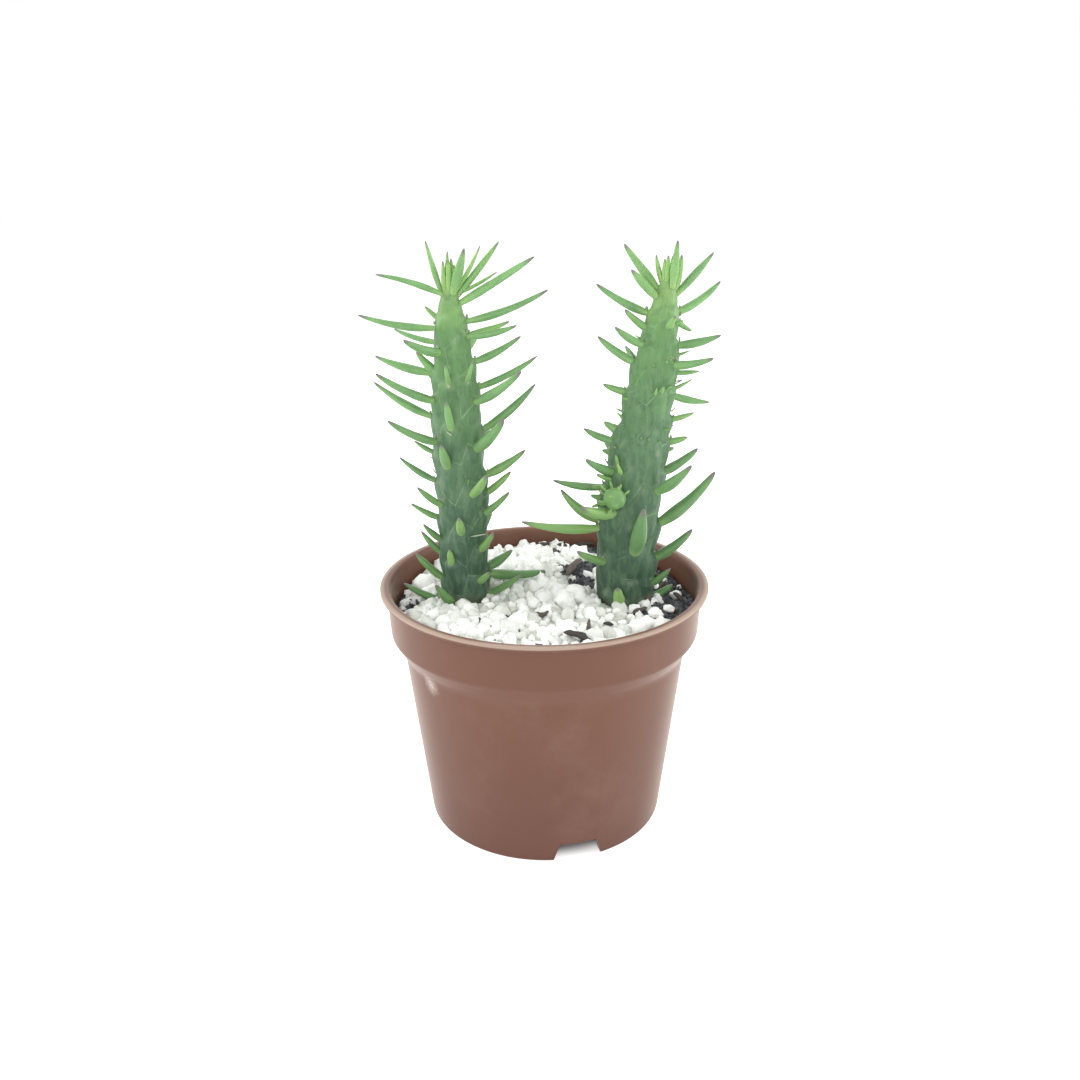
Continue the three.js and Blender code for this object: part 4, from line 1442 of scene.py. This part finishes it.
@dataclass
class Leaf:
    """One awl-shaped leaf on a curve through its foot, its middle and its tip."""

    foot: np.ndarray
    middle: np.ndarray
    tip: np.ndarray
    width: float
    youth: float = 0.0
    seed: float = 0.0
    sides: int = 14
    rings: int = 22
    fullness: ClassVar[float] = 2.04
    foot_share: ClassVar[float] = 0.62
    belly_at: ClassVar[float] = 0.36
    flatness: ClassVar[tuple[float, float]] = (0.74, 0.92)
    wobble: ClassVar[float] = 0.05

    @classmethod
    def from_node(cls, node: str, axis: StemAxis, seed: float) -> "Leaf":
        """Reads the curve of a packed leaf from its outer rings and its tip.

        Args:
            node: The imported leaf's name.
            axis: The stem that bears it.
            seed: The number that its small differences come from.

        Returns:
            The leaf.
        """
        points = node_points(node)
        spread = points - points.mean(axis=0)
        way = np.linalg.svd(spread, full_matrices=False)[2][0]
        ends = [points[(spread @ way).argmin()], points[(spread @ way).argmax()]]

        def outwardness(point: np.ndarray) -> float:
            """How far a point lies out from the stem and up."""
            return float(np.linalg.norm(point[:2] - axis.centre(point[2])[:2]) + 0.6 * point[2])

        tip = max(ends, key=outwardness)
        order = np.linalg.norm(points - tip, axis=1).argsort()
        outer, inner = points[order[1:9]].mean(axis=0), points[order[9:17]].mean(axis=0)
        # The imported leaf's outer rings lie at four and five sixths of its length.
        shares = np.array((4.0 / 6.0, 5.0 / 6.0, 1.0))
        curve = np.linalg.solve(np.vander(shares, 3), np.array((inner, outer, tip)))
        foot, middle = curve[2], 0.25 * curve[0] + 0.5 * curve[1] + curve[2]
        steps = np.linspace(0.0, 1.0, 60)[:, None]
        line = foot + steps * (tip - foot) + 4.0 * steps * steps[::-1] * (middle - (foot + tip) / 2.0)
        away = np.linalg.norm(points[:, None] - line[None], axis=2).min(axis=1)
        return cls(foot, middle, tip, cls.fullness * away.max(), seed=seed)

    @classmethod
    def from_row(cls, axis: StemAxis, row: tuple[float, ...], seed: float, bend: float = 7.0) -> "Leaf":
        """Places a leaf on a stem.

        Args:
            axis: The stem that bears it.
            row: The height of its foot above the pot's foot, its turn, length, rise, width, youth and bend.
            seed: The number that its small differences come from.
            bend: How far it turns upwards along its length, where the row doesn't say.

        Returns:
            The leaf.
        """
        height, turn, length, rise, width = row[:5]
        youth = row[5] if len(row) > 5 else 0.0
        bend = row[6] if len(row) > 6 else bend
        out = around(turn)
        skin = axis.skin(height, out, -0.2)

        def way(degrees: float) -> np.ndarray:
            """The direction at a rise."""
            angle = math.radians(degrees)
            return out * math.cos(angle) + np.array((0.0, 0.0, math.sin(angle)))

        foot = skin - way(rise - bend) * 0.8
        tip = skin + way(rise) * length
        crown = axis.heights[-1] - 2.2
        if foot[2] > crown:
            foot = axis.centre(crown) + out * 0.9
        middle = (foot + tip) / 2.0 + (way(rise - bend) - way(rise)) * length * 0.25
        return cls(foot, middle, tip, width, youth, seed)

    def mesh(self) -> MeshParts:
        """Makes the leaf's skin.

        Returns:
            The corners, the faces, and each corner's place along the leaf, youth and tone.
        """
        shares = 1.0 - (1.0 - np.linspace(0.0, 1.0, self.rings + 1)[:-1]) ** 1.25
        control = 2.0 * self.middle - (self.foot + self.tip) / 2.0
        t = shares[:, None]
        line = (1 - t) ** 2 * self.foot + 2 * t * (1 - t) * control + t**2 * self.tip
        along = 2 * (1 - t) * (control - self.foot) + 2 * t * (self.tip - control)
        along /= np.linalg.norm(along, axis=1)[:, None]
        across = np.cross(UP, along[0])
        if np.linalg.norm(across) < 0.2:
            across = np.cross(along[0], np.array((0.0, 1.0, 0.0)))
        across = unit(across)
        lift = np.cross(along, across)
        uneven = 1.0 + self.wobble * np.sin(9.0 * shares + 5.1 * self.seed)
        half = self.width / 2.0 * leaf_profile(shares, self.foot_share, self.belly_at) * uneven
        angles = full_turn(self.sides)
        flat = np.where(np.sin(angles) > 0.0, *self.flatness)
        wide, thick = np.cos(angles)[:, None] * across, (flat * np.sin(angles))[:, None]
        rings = [line[k] + half[k] * (wide + thick * lift[k]) for k in range(len(shares))]
        points, faces = loft(np.array(rings), self.foot, self.tip)
        where = np.append(np.repeat(shares, self.sides), (0.0, 1.0))
        youth = np.full(len(points), self.youth)
        return points, faces, {"along": where, "youth": youth, "tone": self.tones(len(points))}

    def tones(self, count: int) -> np.ndarray:
        """The leaf's own tone, once for each corner."""
        return np.full(count, (self.seed * 0.618) % 1.0)


@dataclass
class Stem:
    """A tubercled stem with its leaves, areoles, sprigs and spines."""

    finishes: Finishes
    side: Side
    leaf_count: int
    swelling: float
    extras: tuple[tuple[float, ...], ...]
    sprigs: tuple[tuple[float, ...], ...]
    spines: tuple[tuple[float, ...], ...]
    young: tuple[tuple[int, float], ...]
    seat_gap: float = 3.7
    seat_width: float = 2.9
    reach_up: float = 1.5
    reach_down: float = 5.6
    areole_size: float = 0.9
    crease_width: float = 0.42
    crease_depth: float = 0.07
    unevenness: float = 0.12
    sides: int = 144
    rings: int = 250
    axis: StemAxis = field(init=False)
    leaves: list[Leaf] = field(init=False)

    def __post_init__(self) -> None:
        """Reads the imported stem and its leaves."""
        self.axis = StemAxis(self.stem_node)
        nodes = self.leaf_nodes()
        self.leaves = [Leaf.from_node(node, self.axis, k + 1.0) for k, node in enumerate(nodes)]
        for number, youth in self.young:
            self.leaves[number - 1].youth = youth
        self.leaves += [Leaf.from_row(self.axis, row, 30.0 + k) for k, row in enumerate(self.extras)]

    @property
    def stem_node(self) -> str:
        """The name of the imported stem."""
        return f"stem_{self.side.value}"

    def leaf_nodes(self) -> list[str]:
        """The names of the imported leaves."""
        return [f"{self.side.value}_leaf_{k:02d}" for k in range(1, self.leaf_count + 1)]

    def build(self) -> None:
        """Makes the stem, its leaves and its small parts."""
        self.build_skin()
        side, finishes = self.side.value, self.finishes
        blades = [leaf.mesh() for leaf in self.leaves]
        settle_parts(f"{side}_leaves", blades, finishes.leaf, "leaf", *self.leaf_nodes())
        settle_parts(f"{side}_areoles", self.areoles(), finishes.felt, "stem")
        settle_parts(f"{side}_sprigs", self.sprig_leaves(), finishes.leaf, "young_growth")
        settle_parts(f"{side}_spines", self.spine_needles(), finishes.spine, "stem")

    def seats(self) -> np.ndarray:
        """Places the tubercles: one under each leaf, then more round the golden angle where there is room.

        Returns:
            The height, turn in radians and strength of each.
        """
        seats = []
        for leaf in self.leaves:
            out = leaf.foot - self.axis.centre(leaf.foot[2])
            strength = 1.0 if leaf.foot[2] < self.axis.heights[-1] - 6.0 else 0.4
            seats.append((leaf.foot[2] + 0.3, math.atan2(out[1], out[0]), strength))
        turn = 0.7 if self.side is Side.LEFT else 2.1
        for height in np.arange(PLANTING_LEVEL - 3.0, self.axis.heights[-1] - 7.0, 1.15):
            turn += math.radians(137.508)
            radius = self.axis.radius(height)
            apart = [
                math.hypot(radius * math.remainder(turn - s[1], 2.0 * math.pi), (height - s[0]) / 1.4)
                for s in seats
            ]
            if min(apart) > self.seat_gap:
                seats.append((height, math.remainder(turn, 2.0 * math.pi), 0.55))
        return np.array(seats)

    def build_skin(self) -> None:
        """Makes the stem's skin, swollen below each areole and creased between the swellings."""
        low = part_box(self.stem_node)[0][2] / MM
        tip = self.axis.heights[-1]
        heights = low + (tip - low) * np.linspace(0.0, 1.0, self.rings + 1)[1:-1]
        z, a = np.meshgrid(heights, full_turn(self.sides), indexing="ij")
        radius = self.axis.radius(z)
        swell, areole = np.zeros_like(z), np.zeros_like(z)
        nearest, second = np.full(z.shape, 99.0), np.full(z.shape, 99.0)
        for height, turn, strength in self.seats():
            across = radius * ((a - turn + math.pi) % (2.0 * math.pi) - math.pi)
            up = z - height
            reach = np.where(up > 0.0, self.reach_up, self.reach_down)
            bump = strength * np.exp(-((across / self.seat_width) ** 2) - (up / reach) ** 2)
            swell = np.maximum(swell, bump)
            apart = np.hypot(across, (up + 2.6) / 1.5)
            second = np.minimum(second, np.maximum(nearest, apart))
            nearest = np.minimum(nearest, apart)
            size = self.areole_size
            spot = strength * np.exp(-((across / size) ** 2) - ((up - size) / size) ** 2)
            areole = np.maximum(areole, spot)
        gap = second - nearest
        crease = self.crease_depth * np.exp(-((gap / self.crease_width) ** 2))
        fade = smoothstep(PLANTING_LEVEL - 4.0, PLANTING_LEVEL + 3.0, z)
        flat = np.stack([radius * np.cos(a), radius * np.sin(a), z], axis=-1).reshape(-1, 3)
        skin = self.unevenness * noise_at(flat, 5.0, 2.0).reshape(z.shape)
        lifted = self.swelling * (swell - 0.4) * fade - crease * fade + skin
        radius = radius + lifted * np.clip(radius / 5.0, 0.0, 1.0)
        x, y, _ = np.moveaxis(self.axis.centre(z), -1, 0)
        rings = np.stack([x + radius * np.cos(a), y + radius * np.sin(a), z], axis=-1)
        points, faces = loft(rings, self.axis.centre(heights[0]), self.axis.centre(tip))
        attributes = {
            "seam_gap": np.append(gap.ravel(), (9.0, 9.0)),
            "areole": np.append(areole.ravel(), (0.0, 0.0)),
        }
        name = f"{self.side.value}_stem_skin"
        stem = mesh_piece(name, points, faces, self.finishes.stem, attributes)
        settle(stem, "stem", self.stem_node)

    def areoles(self) -> list[MeshParts]:
        """Makes the felt pad in the crook above each leaf.

        Returns:
            The pads.
        """
        pads = []
        for k, leaf in enumerate(self.leaves):
            height = leaf.foot[2] + 0.55 * leaf.width
            if height > self.axis.heights[-1] - 4.0:
                continue
            out = leaf.foot - self.axis.centre(leaf.foot[2])
            out = unit(out * (1.0, 1.0, 0.0))
            at = self.axis.skin(height, out, 0.5 * self.swelling)
            pads.append(pad(at, out, 0.34 + 0.08 * (k % 3), float(k)))
        return pads

    def sprig_leaves(self) -> list[MeshParts]:
        """Makes the tufts of tiny young leaves that break from some areoles.

        Returns:
            The leaves.
        """
        leaves = []
        for k, (height, turn, size, count) in enumerate(self.sprigs):
            for n in range(int(count)):
                swing = turn + 26.0 * math.sin(2.4 * n + k)
                rise = 10.0 + 55.0 * ((n * 0.618 + 0.3 * k) % 1.0)
                length = size * (0.6 + 0.5 * ((n * 0.382 + 0.17 * k) % 1.0))
                row = (height + 0.5 * math.cos(2.4 * n), swing, length, rise, 0.34 * size, 0.25)
                leaf = Leaf.from_row(self.axis, row, 60.0 + n + k, 12.0)
                leaf.sides, leaf.rings = 8, 9
                leaves.append(leaf.mesh())
        return leaves

    def spine_needles(self) -> list[MeshParts]:
        """Makes the few fine spines.

        Returns:
            The spines.
        """
        needles = []
        for height, turn, length, rise, swing, dark in self.spines:
            foot = self.axis.skin(height, around(turn), 0.1)
            way = around(turn + swing) * math.cos(math.radians(rise)) + UP * math.sin(math.radians(rise))
            needle = Leaf(foot, foot + way * length / 2.0, foot + way * length, 0.42, sides=6, rings=6)
            points, faces, _ = needle.mesh()
            needles.append((points, faces, {"tone": np.full(len(points), dark)}))
        return needles


def pad(at: np.ndarray, out: np.ndarray, radius: float, seed: float) -> MeshParts:
    """Makes a small uneven cushion.

    Args:
        at: Its middle.
        out: The way that it faces.
        radius: Its size.
        seed: Which unevenness.

    Returns:
        The corners, the faces and their tone.
    """
    pole = np.array((1.0, 0.0, 0.0))
    rows = [(math.cos(p), math.sin(p)) for p in np.linspace(0.0, math.pi, 8)[1:-1]]
    ball = [[(far, wide * math.cos(t), wide * math.sin(t)) for t in full_turn(10)] for far, wide in rows]
    points, faces = loft(np.array(ball), pole, -pole)
    points = points * (1.0 + 0.3 * noise_at(points, 0.6, seed))[:, None] * radius
    turned = points[:, :1] * 0.7 * out + points[:, 1:2] * np.cross(UP, out) + points[:, 2:3] * 1.3 * UP
    return turned + at, faces, {"tone": np.full(len(points), (seed * 0.37) % 1.0)}


@dataclass
class SideShoot:
    """The knobbly young shoot low on the right stem, with its crowd of tiny leaves."""

    finishes: Finishes
    axis: StemAxis
    knobs: int = 24
    lean: float = 0.35
    slimness: float = 0.8
    leaflets: tuple[tuple[float, ...], ...] = ()

    def build(self) -> None:
        """Makes the shoot's body and its leaflets."""
        points = node_points("side_shoot")
        middle = (points.min(axis=0) + points.max(axis=0)) / 2.0
        out = unit((middle - self.axis.centre(middle[2])) * (1.0, 1.0, 0.0))
        out = unit(out + self.lean * UP)
        radius = self.slimness * float(np.abs((points - middle) @ np.cross(out, UP)).max())
        stretch = 0.8 * (float(((points - middle) @ out).max()) - radius)
        seats = self.knob_ways(out)
        side = unit(np.cross(UP, out))
        lift = np.cross(out, side)
        turns = full_turn(72)
        ball = [
            [math.cos(p) * out + math.sin(p) * (math.cos(t) * side + math.sin(t) * lift) for t in turns]
            for p in np.linspace(0.0, math.pi, 64)[1:-1]
        ]
        ways, faces = loft(np.array(ball), out, -out)
        near = (ways @ seats.T).max(axis=1)
        knob = np.exp(-((np.arccos(np.clip(near, -1.0, 1.0)) / 0.2) ** 2))
        reach = radius * (0.88 + 0.1 * knob) + np.clip(ways @ out, 0.0, 1.0) * stretch
        skin = middle + ways * reach[:, None]
        attributes = {
            "along": np.full(len(skin), 0.3),
            "youth": np.clip(0.1 + 0.35 * knob, 0.0, 1.0),
            "tone": np.full(len(skin), 0.2),
        }
        shoot = mesh_piece("side_shoot_body", skin, faces, self.finishes.shoot, attributes)
        settle(shoot, "young_growth", "side_shoot")
        parts = []
        for k, way in enumerate(seats):
            if k % 2 and way[2] < 0.15:
                continue
            foot = middle + way * (radius * 0.95 + max(float(way @ out), 0.0) * stretch)
            tip = foot + unit(way + self.lean * UP) * (1.2 + 1.3 * ((k * 0.618) % 1.0))
            leaf = Leaf(foot - way * 0.3, (foot + tip) / 2.0, tip, 0.8, 0.5, 0.7 * k, 8, 9)
            parts.append(leaf.mesh())
        for k, row in enumerate(self.leaflets):
            parts.append(Leaf.from_row(self.axis, row, 80.0 + k, 8.0).mesh())
        settle_parts("side_shoot_leaflets", parts, self.finishes.leaf, "young_growth")

    def knob_ways(self, out: np.ndarray) -> np.ndarray:
        """Spreads the knobs evenly over the side that faces away from the stem.

        Args:
            out: The way that the shoot grows.

        Returns:
            The direction of each knob.
        """
        ways = []
        for k in range(self.knobs):
            z = 1.0 - 2.0 * (k + 0.5) / self.knobs
            ring = math.sqrt(1.0 - z * z)
            turn = GOLDEN * k
            way = np.array((ring * math.cos(turn), ring * math.sin(turn), z))
            if way @ out > -0.25:
                ways.append(way)
        return np.array(ways)


# Leaves set one by one, small or on the far side: height of the foot, turn, length, rise, width, youth and,
# where it isn't the usual one, bend.
LEFT_EXTRAS = (
    (141.0, 117.0, 6.7, 88.0, 1.3, 0.9),
    (142.0, 40.0, 4.2, 74.0, 1.4, 0.9),
    (142.0, -80.0, 4.0, 76.0, 1.5, 0.9),
    (142.0, 200.0, 3.8, 68.0, 1.3, 0.9),
    (141.5, -20.0, 3.6, 60.0, 1.4, 0.8),
    (140.4, 3.0, 11.8, 47.0, 1.3, 0.8),
    (138.2, 6.0, 11.3, 24.0, 1.1, 0.6),
    (132.0, 169.0, 4.1, 41.0, 1.6, 0.4),
    (119.5, 185.0, 6.2, 49.0, 2.6, 0.2),
    (127.8, 3.0, 11.0, 17.0, 2.1, 0.7),
    (98.6, 186.0, 6.1, 33.0, 1.6, 0.2),
    (85.6, -142.0, 9.6, 41.0, 2.2, 0.1),
    (87.6, 2.0, 8.7, 41.0, 2.3, 0.6),
    (83.0, -26.0, 10.2, 42.0, 2.2, 0.2),
    (81.2, 184.0, 8.4, 30.0, 1.9, 0.1),
    (75.7, -162.0, 6.8, 46.0, 2.1, 0.1),
    (71.7, 185.0, 8.1, 50.0, 2.1, 0.1),
    (64.6, -176.0, 10.1, 46.0, 2.5, 0.2),
    (57.7, 185.0, 12.2, 29.0, 2.6, 0.1),
    (59.3, -126.0, 9.4, 49.0, 2.9, 0.2),
    (66.7, 18.0, 8.0, 30.0, 2.9, 0.1),
    (60.5, -17.0, 11.8, 34.0, 2.3, 0.1),
    (105.7, -100.0, 9.0, 62.0, 2.1, 0.2),
    (116.5, -100.0, 6.6, 60.0, 1.3, 0.3),
    (117.0, -53.0, 6.6, 60.0, 1.3, 0.3),
    (96.0, -115.0, 7.3, 66.0, 2.6, 0.2),
    (78.8, -92.0, 6.6, 56.0, 2.3, 0.6),
    (70.1, -121.0, 4.6, 80.0, 2.1, 0.5),
    (65.3, -50.0, 6.0, 40.0, 2.3, 0.5),
    (73.7, -44.0, 7.9, 50.0, 2.3, 0.4),
    (123.0, 60.0, 9.0, 28.0, 2.1, 0.3),
    (109.0, 118.0, 10.0, 26.0, 2.3, 0.2),
    (97.0, 62.0, 11.0, 30.0, 2.3, 0.1),
    (81.0, 120.0, 9.0, 34.0, 2.2, 0.1),
    (74.0, 60.0, 9.5, 36.0, 2.3, 0.1),
    (65.0, 95.0, 8.5, 40.0, 2.3, 0.1),
)

RIGHT_EXTRAS = (
    (142.0, 175.0, 5.6, 56.0, 1.6, 0.8),
    (140.7, -171.0, 3.5, 70.0, 1.1, 0.8),
    (138.9, -2.0, 7.8, 80.0, 2.1, 0.7),
    (142.5, -100.0, 4.2, 74.0, 1.5, 0.9),
    (142.5, 30.0, 4.0, 70.0, 1.4, 0.9),
    (142.5, -30.0, 3.6, 62.0, 1.4, 0.8),
    (142.5, 220.0, 3.6, 66.0, 1.3, 0.8),
    (129.5, -168.0, 7.3, 40.0, 2.3, 0.3),
    (131.3, 2.0, 4.8, -34.0, 1.8, 0.2),
    (130.0, -70.0, 5.0, 40.0, 1.9, 0.2),
    (122.8, -7.0, 3.9, 21.0, 0.9, 0.4),
    (118.8, -8.0, 6.3, 4.0, 1.6, 0.2),
    (113.9, 183.0, 6.5, 19.0, 2.3, 0.3),
    (104.2, 175.0, 4.0, 31.0, 2.6, 0.2),
    (98.5, 176.0, 2.7, 11.0, 2.1, 0.2),
    (114.6, -8.0, 5.5, 29.0, 1.1, 0.3),
    (107.0, -8.0, 6.5, 18.0, 1.8, 0.5),
    (101.3, -4.0, 5.4, 14.0, 2.3, 0.3),
    (98.9, 5.0, 2.4, 14.0, 1.8, 0.3),
    (86.5, 178.0, 3.4, 13.0, 2.1, 0.3),
    (80.4, 176.0, 13.1, 39.0, 3.1, 0.5, 20.0),
    (64.4, -31.0, 7.7, 45.0, 2.3, 0.1),
    (59.5, -6.0, 6.5, 36.0, 2.6, 0.1),
    (61.0, -104.0, 5.6, 60.0, 3.0, 0.9),
    (126.0, 60.0, 8.5, 36.0, 2.2, 0.3),
    (119.0, 120.0, 8.5, 32.0, 2.2, 0.2),
    (109.0, 58.0, 9.0, 30.0, 2.3, 0.2),
    (95.0, 122.0, 10.0, 32.0, 2.4, 0.1),
    (84.0, 55.0, 10.0, 36.0, 2.4, 0.1),
    (76.0, 118.0, 9.0, 36.0, 2.4, 0.1),
    (66.0, 70.0, 8.5, 40.0, 2.3, 0.1),
)

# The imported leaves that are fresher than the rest: number and youth.
LEFT_YOUNG = ((2, 0.3), (3, 0.2), (4, 0.3), (23, 0.3), (25, 0.5))
RIGHT_YOUNG = ((1, 0.3), (2, 0.3), (4, 0.2), (21, 0.6), (23, 0.6), (26, 0.3))

# Tufts: height, turn, size and count of leaves.
LEFT_SPRIGS = (
    (117.5, 178.0, 2.2, 3),
    (92.5, -62.0, 1.6, 2),
)

RIGHT_SPRIGS = (
    (130.6, -6.0, 2.6, 4),
    (115.0, -58.0, 2.4, 6),
    (121.5, -75.0, 1.8, 3),
    (112.5, 176.0, 2.8, 4),
    (108.0, 178.0, 2.2, 3),
    (103.0, -72.0, 1.4, 4),
    (105.2, -10.0, 2.2, 3),
    (126.5, 182.0, 2.0, 3),
    (99.8, 178.0, 2.0, 3),
    (92.0, 168.0, 2.0, 3),
)

# Spines: height, turn, length, rise, swing and darkness.
LEFT_SPINES = (
    (96.5, 176.0, 2.4, 35.0, 20.0, 0.1),
    (93.0, 178.0, 2.0, 60.0, -15.0, 0.1),
    (117.0, 176.0, 2.2, 55.0, 10.0, 0.9),
    (73.7, -44.0, 3.0, 30.0, 25.0, 0.2),
    (75.0, 2.0, 2.0, 55.0, 20.0, 0.8),
    (78.0, -70.0, 4.2, 12.0, 62.0, 0.1),
    (104.0, -95.0, 2.6, 40.0, -60.0, 0.1),
)

RIGHT_SPINES = (
    (122.0, 175.0, 3.2, 60.0, 10.0, 0.9),
    (121.0, 177.0, 2.4, 40.0, -10.0, 0.9),
    (116.5, -6.0, 2.4, 10.0, 10.0, 0.9),
    (115.8, -8.0, 2.6, 30.0, -10.0, 0.9),
    (109.0, -6.0, 1.8, 45.0, 10.0, 0.8),
    (104.5, -8.0, 1.8, 50.0, 0.0, 0.8),
    (113.0, 180.0, 3.0, 48.0, 10.0, 0.9),
    (83.5, 172.0, 2.4, 60.0, 20.0, 0.9),
    (82.5, 176.0, 2.2, 70.0, -20.0, 0.9),
    (84.5, 180.0, 2.0, 50.0, 10.0, 0.9),
    (85.5, 170.0, 2.2, 80.0, 0.0, 0.9),
    (95.0, 172.0, 2.4, 60.0, 0.0, 0.9),
)

# Leaflets round the side shoot, in the same columns as the leaves set one by one.
SHOOT_LEAFLETS = (
    (92.5, -150.0, 5.2, 24.0, 1.7, 0.7),
    (94.5, -128.0, 4.0, 60.0, 1.2, 0.9),
    (88.0, -118.0, 4.2, 30.0, 1.2, 0.9),
    (85.0, -128.0, 3.4, -10.0, 1.1, 0.8),
    (96.5, -140.0, 3.0, 70.0, 1.0, 0.9),
    (90.0, -165.0, 4.6, 8.0, 1.6, 0.5),
    (86.5, -160.0, 4.0, -14.0, 1.5, 0.4),
)


def main() -> None:
    """Builds the studio and every part of the plant."""
    logging.basicConfig(level=logging.INFO, format="%(message)s")
    Studio().build()
    finishes = Finishes()
    NurseryPot(finishes).build()
    Planting(finishes, Ground()).build()
    left = Stem(finishes, Side.LEFT, 27, 1.2, LEFT_EXTRAS, LEFT_SPRIGS, LEFT_SPINES, LEFT_YOUNG)
    left.build()
    right = Stem(finishes, Side.RIGHT, 27, 1.6, RIGHT_EXTRAS, RIGHT_SPRIGS, RIGHT_SPINES, RIGHT_YOUNG)
    right.build()
    SideShoot(finishes, right.axis, leaflets=SHOOT_LEAFLETS).build()


if __name__ == "__main__":
    main()
